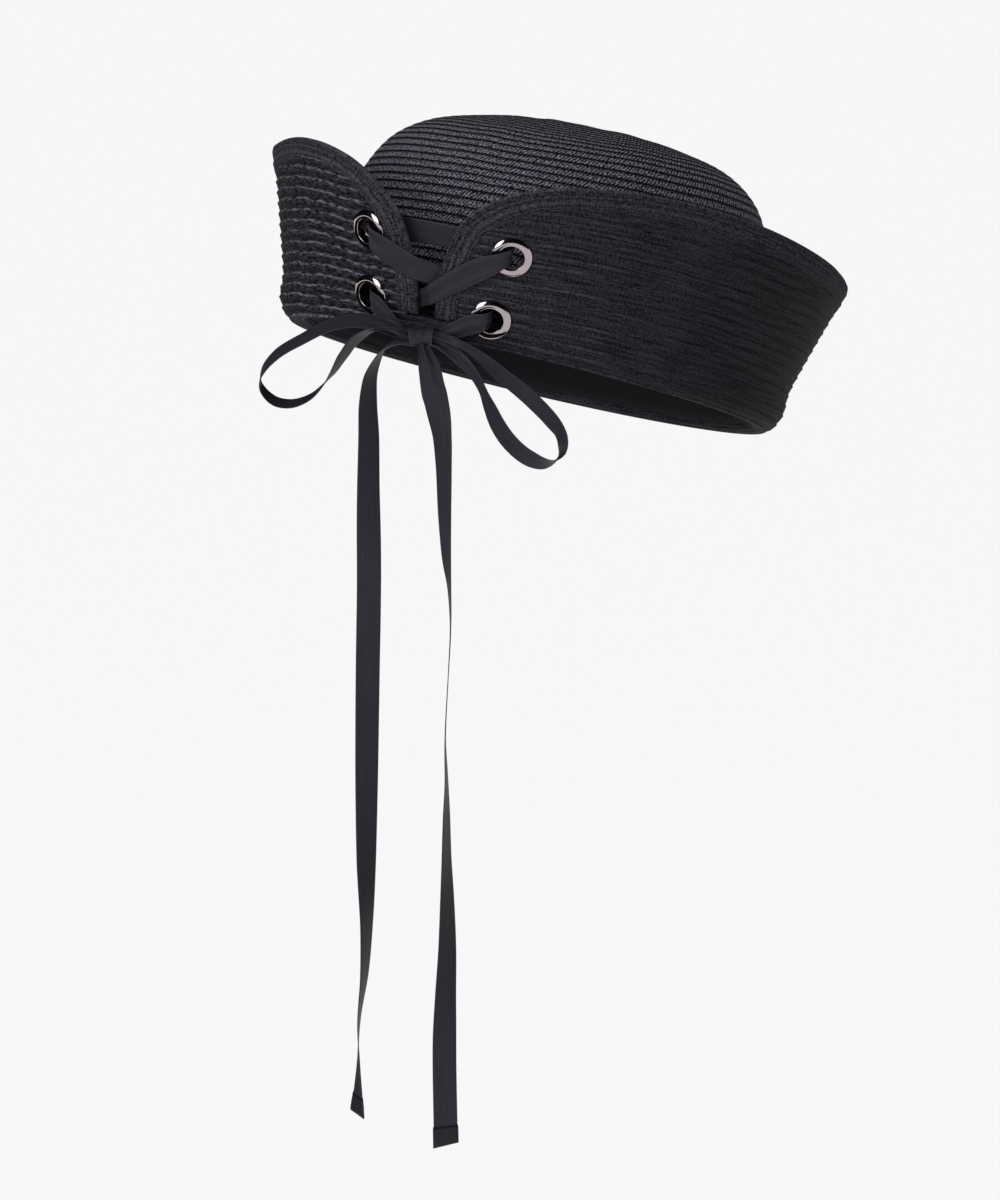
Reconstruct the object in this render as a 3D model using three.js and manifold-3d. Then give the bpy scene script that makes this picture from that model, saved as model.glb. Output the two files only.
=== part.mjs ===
// Sailor hat of black sewn braid. The brim is turned up all round and slit at the back (-Y), where a
// satin ribbon laces its two flaps together and ends in a bow with long tails. The hat is tipped as it
// sits when it is worn, the tails hang straight down, and the origin is the middle of the head opening.
import * as THREE from 'three';
import { mergeVertices } from 'three/addons/utils/BufferGeometryUtils.js';
import Module from 'manifold-3d';

const wasm = await Module();
wasm.setup();

// Driving sizes in millimetres, angles in degrees. An angle round the hat starts at the slit and grows
// towards +X. A height on the brim is measured up its slanted outer face from the fold.
const TIP_FORWARD = -15.9;
const TIP_SIDEWAYS = 7.6;
const FOLD_HALF_LENGTH = 106;
const FOLD_HALF_WIDTH = 92;
const MEAN_RADIUS = (FOLD_HALF_LENGTH + FOLD_HALF_WIDTH) / 2;
const BRAID_WALL = 2;
const SEAM_GAP = 0.3;

// Fold at the foot of the brim, and the lip inside it that carries the crown
const FOLD = { radius: 3.6, lipHeight: 4, lipLean: 9, arcSteps: 4 };

// Roll of the braid just above the fold, which fades out towards the slit
const ROLL = { size: 2.4, height: 7, spread: 7, startAngle: 24, fullAngle: 55 };

// Lean of the brim away from upright, by angle from the slit
const BRIM_FLARE = [
  { angle: 0, lean: 28.8 },
  { angle: 50, lean: 18.6 },
  { angle: 95, lean: 16.8 },
  { angle: 180, lean: 17 },
];
const BRIM_LEVELS = 4;
const SLIT_FLOOR = 6;
const SLIT_COLUMNS = [-0.5, 0, 0.5];
const FAN_ANGLE = 30;

// Free edge of the brim, from the foot of the slit round a flap's corner to the middle of the front.
// The left flap, on the -X side, is bent down a little lower than the right one.
const FLAP_EDGE = [
  { angle: 2.1, right: 6.3, left: 6.3 },
  { angle: 2.2, right: 15, left: 15 },
  { angle: 3, right: 26, left: 26 },
  { angle: 4.4, right: 36, left: 36 },
  { angle: 6.5, right: 46, left: 46 },
  { angle: 10.5, right: 54.5, left: 54.5 },
  { angle: 15, right: 60.5, left: 60.5 },
  { angle: 22, right: 65.5, left: 65 },
  { angle: 35, right: 69.5, left: 67 },
  { angle: 55, right: 71, left: 65.2 },
  { angle: 85, right: 67.3, left: 60.4 },
  { angle: 120, right: 61, left: 58.5 },
  { angle: 150, right: 58.5, left: 58 },
  { angle: 180, right: 58, left: 58 },
];
const EDGE_BRAID = { width: 8.2, rounding: 0.8, steps: 3 };

// Crown from its lower edge to the middle of its top, at the mean of its length and width. Its top is
// tipped up a little towards one side.
const CROWN_PROFILE = [
  { radius: 94.2, height: 7.6 },
  { radius: 90.5, height: 30 },
  { radius: 86.5, height: 52 },
  { radius: 82, height: 68 },
  { radius: 75, height: 80 },
  { radius: 63, height: 88.5 },
  { radius: 45, height: 93.6 },
  { radius: 22, height: 95.8 },
  { radius: 0, height: 96.2 },
];
const CROWN = { rings: 13, sides: 48, topTip: 2.6, topTipTowards: 22 };

const SWEATBAND = { foot: 3, top: 34, thickness: 1, footGap: 1.3, topGap: 0.35, sides: 48 };

const EYELETS = [
  { name: 'eyelet_upper_left', angle: -13.4, height: 36.4 },
  { name: 'eyelet_upper_right', angle: 16.5, height: 36.4 },
  { name: 'eyelet_lower_left', angle: -14.3, height: 11.4 },
  { name: 'eyelet_lower_right', angle: 14.7, height: 10.8 },
];
const EYELET = { outer: 7.6, bore: 4.6, barrel: 5, flange: 1.3, rounding: 0.4, seat: 0.6, sides: 20 };
const EYELET_BACK = { washer: 7, thickness: 0.6 };
const EYELET_HOLE = { radius: 5.4, depth: 10 };

// Satin ribbon. Where a table gives a smaller width the ribbon is gathered.
const RIBBON_THICKNESS = 0.8;
const RIBBON_STEPS = 2;
const HEM = { length: 8, thickness: 1.3 };

// Bow: its plane is turned from the back towards +X. Tables give millimetres to the right of the knot,
// out of the plane towards the viewer, and down. A turn of 0 shows the ribbon's face and 90 its edge.
const BOW_PLANE_TURN = 22;
const KNOT_PLACE = new THREE.Vector3(0.5, -107.5, 28);
const KNOT = { halfWidth: 4.6, radius: 3.6, shoulder: 3.4, shoulderAt: 2.8, endRadius: 2.7, sides: 20 };

const LEFT_LOOP = [
  { right: -5.5, out: 0.2, down: -0.9, turn: 0, width: 3.2 },
  { right: -8, out: 0.1, down: -2.2, turn: 15, width: 4.6 },
  { right: -11.5, out: 0, down: -4.2, turn: 38, width: 6.6 },
  { right: -17.5, out: -1, down: -5.8, turn: 58, width: 9 },
  { right: -26, out: -2, down: -6.2, turn: 62, width: 9 },
  { right: -34.5, out: -3, down: -4, turn: 67, width: 9 },
  { right: -43, out: -4, down: 0.5, turn: 70, width: 9 },
  { right: -52.5, out: -5, down: 6.2, turn: 72, width: 9 },
  { right: -57.8, out: -5.5, down: 12, turn: 79, width: 9 },
  { right: -59.3, out: -6, down: 16.3, turn: 90, width: 9 },
  { right: -58.3, out: -6, down: 20, turn: 100, width: 9 },
  { right: -54, out: -6, down: 24.1, turn: 105, width: 9 },
  { right: -47.8, out: -5, down: 25, turn: 103, width: 9 },
  { right: -41, out: -4, down: 22.5, turn: 97, width: 9 },
  { right: -36.3, out: -3, down: 18.2, turn: 90, width: 9 },
  { right: -32.5, out: -2, down: 13.4, turn: 76, width: 9 },
  { right: -28.2, out: -0.5, down: 6.2, turn: 65, width: 9 },
  { right: -24, out: 0.8, down: 0.5, turn: 64, width: 9 },
  { right: -18.6, out: 1.8, down: -3, turn: 72, width: 8.8 },
  { right: -13.4, out: 2.2, down: -4, turn: 78, width: 6.5 },
  { right: -8.6, out: 2.1, down: -2.8, turn: 45, width: 4.6 },
  { right: -5.5, out: 1.9, down: -1.4, turn: 5, width: 3.2 },
];

const RIGHT_LOOP = [
  { right: 5.2, out: 2.2, down: -1, turn: 0, width: 3.2 },
  { right: 8, out: 2.6, down: -0.2, turn: 20, width: 4.4 },
  { right: 11.5, out: 3.5, down: 1, turn: 40, width: 6 },
  { right: 18, out: 6, down: 3.6, turn: 60, width: 8.5 },
  { right: 24, out: 7.5, down: 7.7, turn: 54, width: 9 },
  { right: 30, out: 8, down: 12.7, turn: 48, width: 9 },
  { right: 36.4, out: 8, down: 17.8, turn: 45, width: 9 },
  { right: 42.7, out: 7, down: 23.7, turn: 45, width: 9 },
  { right: 48.4, out: 6, down: 30.1, turn: 48, width: 9 },
  { right: 51.7, out: 5, down: 35.8, turn: 60, width: 9 },
  { right: 51.8, out: 4, down: 40.7, turn: 70, width: 9 },
  { right: 49.8, out: 3.5, down: 44.5, turn: 99, width: 9 },
  { right: 45.1, out: 3.3, down: 45.9, turn: 128, width: 9 },
  { right: 39.2, out: 3.2, down: 43.7, turn: 139, width: 9 },
  { right: 33.2, out: 3.2, down: 38.6, turn: 138, width: 9 },
  { right: 28.7, out: 3.2, down: 32.3, turn: 134, width: 9 },
  { right: 25.5, out: 3, down: 25.3, turn: 124, width: 9 },
  { right: 23, out: 2.8, down: 19.4, turn: 113, width: 9 },
  { right: 20, out: 2.4, down: 13.7, turn: 118, width: 8.4 },
  { right: 15.3, out: 1.6, down: 8.1, turn: 136, width: 7 },
  { right: 10, out: 0.9, down: 3.8, turn: 158, width: 5 },
  { right: 7.5, out: 0.7, down: 2.2, turn: 175, width: 4 },
  { right: 5.2, out: 0.6, down: 1.4, turn: 180, width: 3.2 },
];

const LEFT_TAIL = [
  { right: -5.2, out: 0.6, down: 1.6, turn: -98, width: 3 },
  { right: -8, out: 1, down: 1.2, turn: -97, width: 5 },
  { right: -11.5, out: 1.8, down: 2.4, turn: -94, width: 8 },
  { right: -14.2, out: 2.5, down: 4.9, turn: -90, width: 9 },
  { right: -16.4, out: 2.6, down: 8.6, turn: -80, width: 9 },
  { right: -18.4, out: 2, down: 13.8, turn: -62, width: 9 },
  { right: -19.4, out: 1, down: 24, turn: -44, width: 9 },
  { right: -19.2, out: 0, down: 37, turn: -33, width: 9 },
  { right: -19.4, out: 0, down: 56, turn: -24, width: 9 },
  { right: -19.3, out: 0, down: 90, turn: 0, width: 9 },
  { right: -19.9, out: 0, down: 124, turn: 9, width: 9 },
  { right: -20.4, out: 0, down: 160, turn: 20, width: 9 },
  { right: -20.7, out: 0, down: 196, turn: 38, width: 9 },
  { right: -20.7, out: 0, down: 221, turn: 60, width: 9 },
  { right: -21.6, out: 0, down: 240, turn: 71, width: 9 },
  { right: -23.7, out: 0, down: 258, turn: 84, width: 9 },
  { right: -23.9, out: 0, down: 274, turn: 98, width: 9 },
  { right: -24.1, out: 0, down: 284, turn: 110, width: 9 },
  { right: -24.5, out: 0, down: 294, turn: 124, width: 9 },
];

const RIGHT_TAIL = [
  { right: 1.4, out: 1.6, down: 4, turn: 0, width: 4.4 },
  { right: 3.1, out: 2.2, down: 10, turn: 0, width: 8 },
  { right: 4.5, out: 2, down: 18, turn: 0, width: 9 },
  { right: 6.1, out: 1.5, down: 25, turn: 8, width: 9 },
  { right: 7.8, out: 1, down: 36, turn: 38, width: 9 },
  { right: 8.4, out: 0.5, down: 48, turn: 49, width: 9 },
  { right: 8.7, out: 0, down: 66, turn: 57, width: 9 },
  { right: 9.4, out: 0, down: 83, turn: 68, width: 9 },
  { right: 10.4, out: 0, down: 94, turn: 81, width: 9 },
  { right: 10.8, out: 0, down: 108, turn: 88, width: 9 },
  { right: 9.9, out: 0, down: 127, turn: 90, width: 9 },
  { right: 8.8, out: 0, down: 150, turn: 91, width: 9 },
  { right: 9.2, out: 0, down: 166, turn: 97, width: 9 },
  { right: 9.2, out: 0, down: 179, turn: 106, width: 9 },
  { right: 9.2, out: 0, down: 196, turn: 113, width: 9 },
  { right: 9.4, out: 0, down: 211, turn: 124, width: 9 },
  { right: 9.4, out: 0, down: 230, turn: 137, width: 9 },
  { right: 8.7, out: 0, down: 250, turn: 152, width: 9 },
  { right: 8.3, out: 0, down: 269, turn: 172, width: 9 },
  { right: 8.8, out: 0, down: 306, turn: 178, width: 9 },
];

// Laced stretch, on the brim: angle, height, lift off the outer face (negative is behind the wall) and
// width
const LACE_ROUTE = [
  { angle: 3.4, height: 1, lift: 2, width: 3.2 },
  { angle: 7, height: 4.2, lift: 2.8, width: 6 },
  { angle: 11, height: 8.4, lift: 3, width: 7.6 },
  { angle: 13.6, height: 10.2, lift: 2.6, width: 7 },
  { angle: 14.7, height: 10.8, lift: -0.6, width: 6.6 },
  { angle: 14.3, height: 11.2, lift: -4.6, width: 6.6 },
  { angle: 11.5, height: 13.6, lift: -5, width: 8 },
  { angle: 7.5, height: 17, lift: -3.6, width: 8 },
  { angle: 3.6, height: 20.8, lift: -3, width: 7.6 },
  { angle: 0.6, height: 23.4, lift: -1.6, width: 8.2 },
  { angle: -2, height: 25.2, lift: 0.7, width: 8.6 },
  { angle: -5, height: 27.3, lift: 1.2, width: 9 },
  { angle: -8.6, height: 31, lift: 2.4, width: 9 },
  { angle: -11.6, height: 35, lift: 3.1, width: 7 },
  { angle: -13.4, height: 36.4, lift: -0.6, width: 6.6 },
  { angle: -12.8, height: 36.6, lift: -4.8, width: 7 },
  { angle: -8.6, height: 36.8, lift: -6, width: 9 },
  { angle: 0, height: 37, lift: -7, width: 9 },
  { angle: 9, height: 36.8, lift: -6, width: 9 },
  { angle: 15.7, height: 36.6, lift: -4.8, width: 7 },
  { angle: 16.5, height: 36.4, lift: -0.6, width: 6.6 },
  { angle: 14.7, height: 34.9, lift: 3, width: 6.8 },
  { angle: 11, height: 30.2, lift: 2.4, width: 8.6 },
  { angle: 7, height: 24.2, lift: 1.2, width: 8.4 },
  { angle: 3.6, height: 19.4, lift: 1, width: 7.6 },
  { angle: 1, height: 15.8, lift: 0.2, width: 7 },
  { angle: -1, height: 13.4, lift: -2, width: 6.6 },
  { angle: -3.6, height: 11.6, lift: -3.2, width: 6.6 },
  { angle: -8, height: 11.2, lift: -4.2, width: 7.6 },
  { angle: -11.6, height: 11.2, lift: -5.2, width: 7.6 },
  { angle: -14, height: 11.4, lift: -4.4, width: 6.6 },
  { angle: -14.3, height: 11.4, lift: -0.6, width: 6.6 },
  { angle: -13, height: 10.6, lift: 2.6, width: 7 },
  { angle: -10.4, height: 8, lift: 3.2, width: 7.4 },
  { angle: -6.8, height: 4, lift: 4.4, width: 6 },
  { angle: -3.2, height: 0.8, lift: 6, width: 3.2 },
];

const radians = THREE.MathUtils.degToRad;
const MM_PER_DEGREE = FOLD_HALF_WIDTH * radians(1);

const BRAID = new THREE.MeshStandardMaterial({ color: 0x1c1b1f, roughness: 0.75, metalness: 0 });
const EDGE = new THREE.MeshStandardMaterial({ color: 0x18171b, roughness: 0.75, metalness: 0 });
const CLOTH = new THREE.MeshStandardMaterial({ color: 0x141417, roughness: 0.9, metalness: 0 });
const GUNMETAL = new THREE.MeshStandardMaterial({ color: 0x6f6c70, roughness: 0.12, metalness: 1 });
const SATIN = new THREE.MeshStandardMaterial({ color: 0x2b2a2f, roughness: 0.45, metalness: 0 });

// Value of one column of a table at an angle from the slit, eased between its rows
function readTable(rows, column, angle) {
  const place = Math.min(Math.abs(angle), 180);
  const next = Math.max(1, rows.findIndex((row) => row.angle >= place));
  const low = rows[next - 1];
  const high = rows[next];
  const share = THREE.MathUtils.smoothstep(place, low.angle, high.angle);
  return THREE.MathUtils.lerp(low[column], high[column], share);
}

// Point in the upright plane that crosses the fold at an angle: out from the fold ellipse, and up
function foldPlanePoint(angle, out, up) {
  const a = radians(angle);
  const normal = new THREE.Vector2(FOLD_HALF_LENGTH * Math.sin(a), -FOLD_HALF_WIDTH * Math.cos(a));
  normal.setLength(out);
  return new THREE.Vector3(
    FOLD_HALF_WIDTH * Math.sin(a) + normal.x,
    -FOLD_HALF_LENGTH * Math.cos(a) + normal.y,
    up,
  );
}

// How far the roll above the fold stands out from the straight slant
function rollAt(angle, height) {
  const share = THREE.MathUtils.smoothstep(Math.abs(angle), ROLL.startAngle, ROLL.fullAngle);
  return ROLL.size * share * Math.exp(-(((height - ROLL.height) / ROLL.spread) ** 2));
}

// Point of the brim: a height up its slanted face, and a lift off its outer face
function brimPoint(angle, height, lift) {
  const lean = radians(readTable(BRIM_FLARE, 'lean', angle));
  const out = height * Math.sin(lean) + lift * Math.cos(lean) + rollAt(angle, height);
  const up = height * Math.cos(lean) - lift * Math.sin(lean);
  return foldPlanePoint(angle, out, up);
}

// Directions on the brim's outer face: up the slant, and straight out of it
function brimDirections(angle, height) {
  const upFace = brimPoint(angle, height + 1, 0).sub(brimPoint(angle, height, 0)).normalize();
  const around = brimPoint(angle + 1, height, 0).sub(brimPoint(angle - 1, height, 0));
  const straightOut = new THREE.Vector3().crossVectors(around, upFace).normalize();
  return { upFace, straightOut };
}

// The same geometry with its faces pointing out, judged by its signed volume
function facingOut(geometry) {
  const corners = geometry.index.array;
  const place = geometry.attributes.position;
  const [a, b, c] = [new THREE.Vector3(), new THREE.Vector3(), new THREE.Vector3()];
  let volume = 0;
  for (let i = 0; i < corners.length; i += 3) {
    a.fromBufferAttribute(place, corners[i]);
    b.fromBufferAttribute(place, corners[i + 1]);
    c.fromBufferAttribute(place, corners[i + 2]);
    volume += a.dot(b.cross(c));
  }
  if (volume < 0) {
    geometry.setIndex(Array.from(corners).reverse());
  }
  return geometry;
}

// Closed skin over a row of closed loops with equal numbers of points, as a ring or with flat ends
function skin(loops, isRing) {
  const count = loops[0].length;
  const corners = [];
  const spans = isRing ? loops.length : loops.length - 1;
  for (let i = 0; i < spans; i += 1) {
    const next = (i + 1) % loops.length;
    for (let j = 0; j < count; j += 1) {
      const after = (j + 1) % count;
      corners.push(i * count + j, next * count + j, next * count + after);
      corners.push(i * count + j, next * count + after, i * count + after);
    }
  }
  if (!isRing) {
    const last = (loops.length - 1) * count;
    for (let j = 1; j < count - 1; j += 1) {
      corners.push(0, j, j + 1);
      corners.push(last, last + j + 1, last + j);
    }
  }
  const geometry = new THREE.BufferGeometry().setFromPoints(loops.flat());
  geometry.setIndex(corners);
  return facingOut(geometry);
}

// Solid for cutting, made from a closed geometry
function toSolid(geometry) {
  const bare = geometry.clone();
  bare.deleteAttribute('normal');
  bare.deleteAttribute('uv');
  const merged = mergeVertices(bare);
  return new wasm.Manifold(new wasm.Mesh({
    numProp: 3,
    vertProperties: new Float32Array(merged.attributes.position.array),
    triVerts: new Uint32Array(merged.index.array),
  }));
}

function toGeometry(solid) {
  const mesh = solid.getMesh();
  const geometry = new THREE.BufferGeometry();
  geometry.setAttribute('position', new THREE.BufferAttribute(mesh.vertProperties, 3));
  geometry.setIndex(new THREE.BufferAttribute(mesh.triVerts, 1));
  return geometry;
}

// Free edge of one flap on the unrolled brim, with the direction into the braid at each place
function flapEdge(side) {
  const rows = FLAP_EDGE.map((row) => new THREE.Vector3(row.angle * MM_PER_DEGREE, row[side], 0));
  const curve = new THREE.CatmullRomCurve3(rows);
  const steps = (rows.length - 1) * EDGE_BRAID.steps;
  const places = Array.from({ length: steps + 1 }, (_, i) => {
    const along = curve.getTangent(i / steps);
    return { edge: curve.getPoint(i / steps), inward: new THREE.Vector3(along.y, -along.x, 0) };
  });
  places.at(0).inward.set(1, 0, 0);
  places.at(-1).inward.set(0, -1, 0);
  return places;
}

// Places on the unrolled brim at an inset from the free edge, from the slit up the right flap, round
// the front and down the left flap
function edgeLine(inset) {
  const line = (side) => flapEdge(side).map(({ edge, inward }) => edge.addScaledVector(inward, inset));
  const left = line('left').slice(0, -1).reverse().map((place) => place.setX(-place.x));
  const right = line('right');
  const lap = 360 * MM_PER_DEGREE;
  return [...right, ...left.map((place) => place.setX(place.x + lap))];
}

const wrapAngle = (angle) => (angle > 180 ? angle - 360 : angle);
const onBrim = (place, lift) => brimPoint(wrapAngle(place.x / MM_PER_DEGREE), place.y, lift);

// Two rows of braid along the whole free edge: a flat section with a rounded outer edge
function edgeBraidGeometry() {
  const { width, rounding } = EDGE_BRAID;
  const [free, start, end] = [0, rounding, width].map(edgeLine);
  return skin(free.map((_, i) => [
    onBrim(free[i], -BRAID_WALL / 2),
    onBrim(start[i], 0),
    onBrim(end[i], 0),
    onBrim(end[i], -BRAID_WALL),
    onBrim(start[i], -BRAID_WALL),
  ]), false);
}

// Section of the brim at one column: down the outer face, round the fold, up the lip, and back inside
function brimSection({ foot, top, height }) {
  const { radius, lipHeight, arcSteps } = FOLD;
  const lean = radians(readTable(BRIM_FLARE, 'lean', foot));
  const lipLean = radians(FOLD.lipLean);
  const start = radius * (1 - Math.sin(lean)) / Math.cos(lean);
  const middle = start * Math.sin(lean) - radius * Math.cos(lean);
  const face = (lift) => Array.from({ length: BRIM_LEVELS + 1 }, (_, i) => {
    const share = i / BRIM_LEVELS;
    return brimPoint(
      THREE.MathUtils.lerp(foot, top, share),
      THREE.MathUtils.lerp(start, height, share),
      lift,
    );
  });
  const arcPoint = (size, swing, rise) => {
    const roll = rollAt(foot, start) * Math.max(0, Math.cos(swing)) / Math.cos(lean);
    const out = middle + size * Math.cos(swing) + roll - rise * Math.sin(lipLean);
    return foldPlanePoint(foot, out, radius + size * Math.sin(swing) + rise * Math.cos(lipLean));
  };
  const arc = (size) => Array.from({ length: arcSteps }, (_, i) => (
    arcPoint(size, THREE.MathUtils.lerp(-lean, lipLean - Math.PI, (i + 1) / arcSteps), 0)
  ));
  const [outside, inside] = [radius, radius - BRAID_WALL];
  return [
    ...face(0).reverse(),
    ...arc(outside),
    arcPoint(outside, lipLean - Math.PI, lipHeight),
    arcPoint(inside, lipLean - Math.PI, lipHeight),
    ...arc(inside).reverse(),
    ...face(-BRAID_WALL),
  ];
}

// Columns of the brim, once round from the slit. Near the slit they fan out from the fold to the edge
// braid, and under the slit only a low wall is left standing.
function brimColumns() {
  const border = edgeLine(EDGE_BRAID.width + SEAM_GAP).map((place) => ({
    angle: wrapAngle(place.x / MM_PER_DEGREE),
    height: place.y,
  }));
  const fan = border.findIndex(({ angle }) => angle > FAN_ANGLE);
  const last = border.length - 1;
  const columns = border.map(({ angle, height }, i) => {
    const fromSlit = Math.min(i, last - i);
    const [near, far] = i < last / 2 ? [border[0], border[fan]] : [border[last], border[last - fan]];
    const foot = fromSlit < fan ? THREE.MathUtils.lerp(near.angle, far.angle, fromSlit / fan) : angle;
    return { foot, top: angle, height: fromSlit === 0 ? SLIT_FLOOR : height };
  });
  const underSlit = SLIT_COLUMNS.map((share) => {
    const angle = share * border[0].angle;
    return { foot: angle, top: angle, height: SLIT_FLOOR };
  });
  return [...columns, ...underSlit];
}

// Frame of an eyelet: its middle on the outer face, with its axis straight out of the brim
function eyeletFrame({ angle, height }) {
  const { straightOut } = brimDirections(angle, height);
  const turn = new THREE.Quaternion().setFromUnitVectors(new THREE.Vector3(0, 1, 0), straightOut);
  return new THREE.Matrix4().compose(brimPoint(angle, height, 0), turn, new THREE.Vector3(1, 1, 1));
}

function brimGeometry() {
  let solid = toSolid(skin(brimColumns().map(brimSection), true));
  for (const eyelet of EYELETS) {
    const { radius, depth } = EYELET_HOLE;
    const drill = new THREE.CylinderGeometry(radius, radius, depth, EYELET.sides);
    solid = solid.subtract(toSolid(drill.applyMatrix4(eyeletFrame(eyelet))));
  }
  return toGeometry(solid);
}

// Profile points for a lathe, from pairs of radius and height
const profilePoints = (pairs) => pairs.map(([radius, height]) => new THREE.Vector2(radius, height));

// Turned eyelet: a rounded flange in front, a barrel through the braid and a washer behind
function eyeletGeometry() {
  const { outer, bore, barrel, flange, rounding, seat, sides } = EYELET;
  const washerFront = -BRAID_WALL - seat;
  const washerBack = washerFront - EYELET_BACK.thickness;
  return new THREE.LatheGeometry(profilePoints([
    [bore, washerBack],
    [EYELET_BACK.washer, washerBack],
    [EYELET_BACK.washer, washerFront],
    [barrel, washerFront],
    [barrel, seat],
    [outer, seat],
    [outer - rounding, seat + flange / 2],
    [outer - flange, seat + flange],
    [bore + flange / 2, seat + flange],
    [bore, seat + flange / 3],
    [bore, washerBack],
  ]), sides);
}

// Body of revolution about the upright axis, drawn out to the hat's oval
function ovalLathe(points, sides) {
  const geometry = new THREE.LatheGeometry(points, sides);
  geometry.rotateX(Math.PI / 2);
  geometry.scale(FOLD_HALF_WIDTH / MEAN_RADIUS, FOLD_HALF_LENGTH / MEAN_RADIUS, 1);
  return geometry;
}

// Crown shell: the inner profile down to the edge and the outer one, a wall's thickness outside, back up
function crownGeometry() {
  const curve = new THREE.CatmullRomCurve3(CROWN_PROFILE.map(({ radius, height }) => (
    new THREE.Vector3(radius, height, 0)
  )));
  const shares = Array.from({ length: CROWN.rings + 1 }, (_, i) => i / CROWN.rings);
  const outer = shares.map((share) => curve.getPointAt(share));
  const inner = shares.map((share, i) => {
    const along = curve.getTangentAt(share);
    const isTop = i === CROWN.rings;
    const inward = isTop ? new THREE.Vector3(0, -1, 0) : new THREE.Vector3(-along.y, along.x, 0);
    return outer[i].clone().addScaledVector(inward, BRAID_WALL);
  });
  const profile = [...inner.reverse(), ...outer].map(({ x, y }) => [x, y]);
  const geometry = ovalLathe(profilePoints(profile), CROWN.sides);
  const place = geometry.attributes.position;
  const top = CROWN_PROFILE.at(-1).height;
  const towards = radians(CROWN.topTipTowards);
  for (let i = 0; i < place.count; i += 1) {
    const reach = place.getX(i) * Math.cos(towards) + place.getY(i) * Math.sin(towards);
    const share = THREE.MathUtils.smoothstep(place.getZ(i), CROWN_PROFILE[1].height, top);
    place.setZ(i, place.getZ(i) + reach * Math.tan(radians(CROWN.topTip)) * share);
  }
  return geometry;
}

// Band of cloth against the inside of the crown wall
function sweatbandGeometry() {
  const [foot, next] = CROWN_PROFILE;
  const slope = (foot.radius - next.radius) / (next.height - foot.height);
  const wallInside = (height) => foot.radius - (height - foot.height) * slope - BRAID_WALL;
  const footRadius = wallInside(SWEATBAND.foot) - SWEATBAND.footGap;
  const topRadius = wallInside(SWEATBAND.top) - SWEATBAND.topGap;
  return ovalLathe(profilePoints([
    [footRadius, SWEATBAND.foot],
    [topRadius, SWEATBAND.top],
    [topRadius - SWEATBAND.thickness, SWEATBAND.top],
    [footRadius - SWEATBAND.thickness, SWEATBAND.foot],
    [footRadius, SWEATBAND.foot],
  ]), SWEATBAND.sides);
}

// Stations along a smooth curve through a table: turn and width follow the same curve parameter
function alongTable(rows, place) {
  const route = new THREE.CatmullRomCurve3(rows.map(place));
  const lay = new THREE.CatmullRomCurve3(rows.map(({ turn = 0, width }) => (
    new THREE.Vector3(turn, width, 0)
  )));
  const spans = (rows.length - 1) * RIBBON_STEPS;
  return Array.from({ length: spans + 1 }, (_, i) => {
    const { x: turn, y: width } = lay.getPoint(i / spans);
    return { point: route.getPoint(i / spans), along: route.getTangent(i / spans), turn, width };
  });
}

// Flat ribbon: an oblong section carried along stations, its width in each station's side direction
function ribbon(stations) {
  return skin(stations.map(({ point, along, side, width, thickness = RIBBON_THICKNESS }) => {
    const across = side.clone().addScaledVector(along, -side.dot(along)).setLength(width / 2);
    const face = new THREE.Vector3().crossVectors(along, across).setLength(thickness / 2);
    return [[1, 1], [-1, 1], [-1, -1], [1, -1]].map(([s, f]) => (
      point.clone().addScaledVector(across, s).addScaledVector(face, f)
    ));
  }), false);
}

// Stations of a ribbon of the bow: at no turn its width lies in the bow's plane
function bowStations(rows) {
  const stations = alongTable(rows, (row) => new THREE.Vector3(row.right, -row.out, -row.down));
  return stations.map((station) => {
    const turn = radians(station.turn);
    const inPlane = new THREE.Vector3(-station.along.z, 0, station.along.x).normalize();
    const side = inPlane.multiplyScalar(Math.cos(turn)).add(new THREE.Vector3(0, -Math.sin(turn), 0));
    return { ...station, side };
  });
}

// A tail ends in a hem, where the ribbon is folded over
function tailGeometry(rows) {
  const stations = bowStations(rows);
  const hemTop = stations.at(-1).point.z + HEM.length;
  return ribbon(stations.map((station) => (
    { ...station, thickness: station.point.z < hemTop ? HEM.thickness : RIBBON_THICKNESS }
  )));
}

// The laced stretch lies flat on the brim, so its width is square to its route on the brim's face
function laceGeometry() {
  const stations = alongTable(LACE_ROUTE, (row) => brimPoint(row.angle, row.height, row.lift));
  const faces = new THREE.CatmullRomCurve3(LACE_ROUTE.map(({ angle, height }) => (
    new THREE.Vector3(angle, height, 0)
  )));
  return ribbon(stations.map((station, i) => {
    const { x: angle, y: height } = faces.getPoint(i / (stations.length - 1));
    return { ...station, side: brimDirections(angle, height).upFace };
  }));
}

// Ribbon wrapped round the middle of the bow: a short barrel lying across it
function knotGeometry() {
  const { halfWidth, radius, shoulder, shoulderAt, endRadius, sides } = KNOT;
  const geometry = new THREE.LatheGeometry(profilePoints([
    [0, -halfWidth],
    [endRadius, -halfWidth],
    [shoulder, -shoulderAt],
    [radius, 0],
    [shoulder, shoulderAt],
    [endRadius, halfWidth],
    [0, halfWidth],
  ]), sides);
  return geometry.rotateZ(-Math.PI / 2);
}

function piece(name, geometry, material) {
  const mesh = new THREE.Mesh(geometry, material.clone());
  mesh.name = name;
  return mesh;
}

const sailorHat = new THREE.Group();

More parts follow.
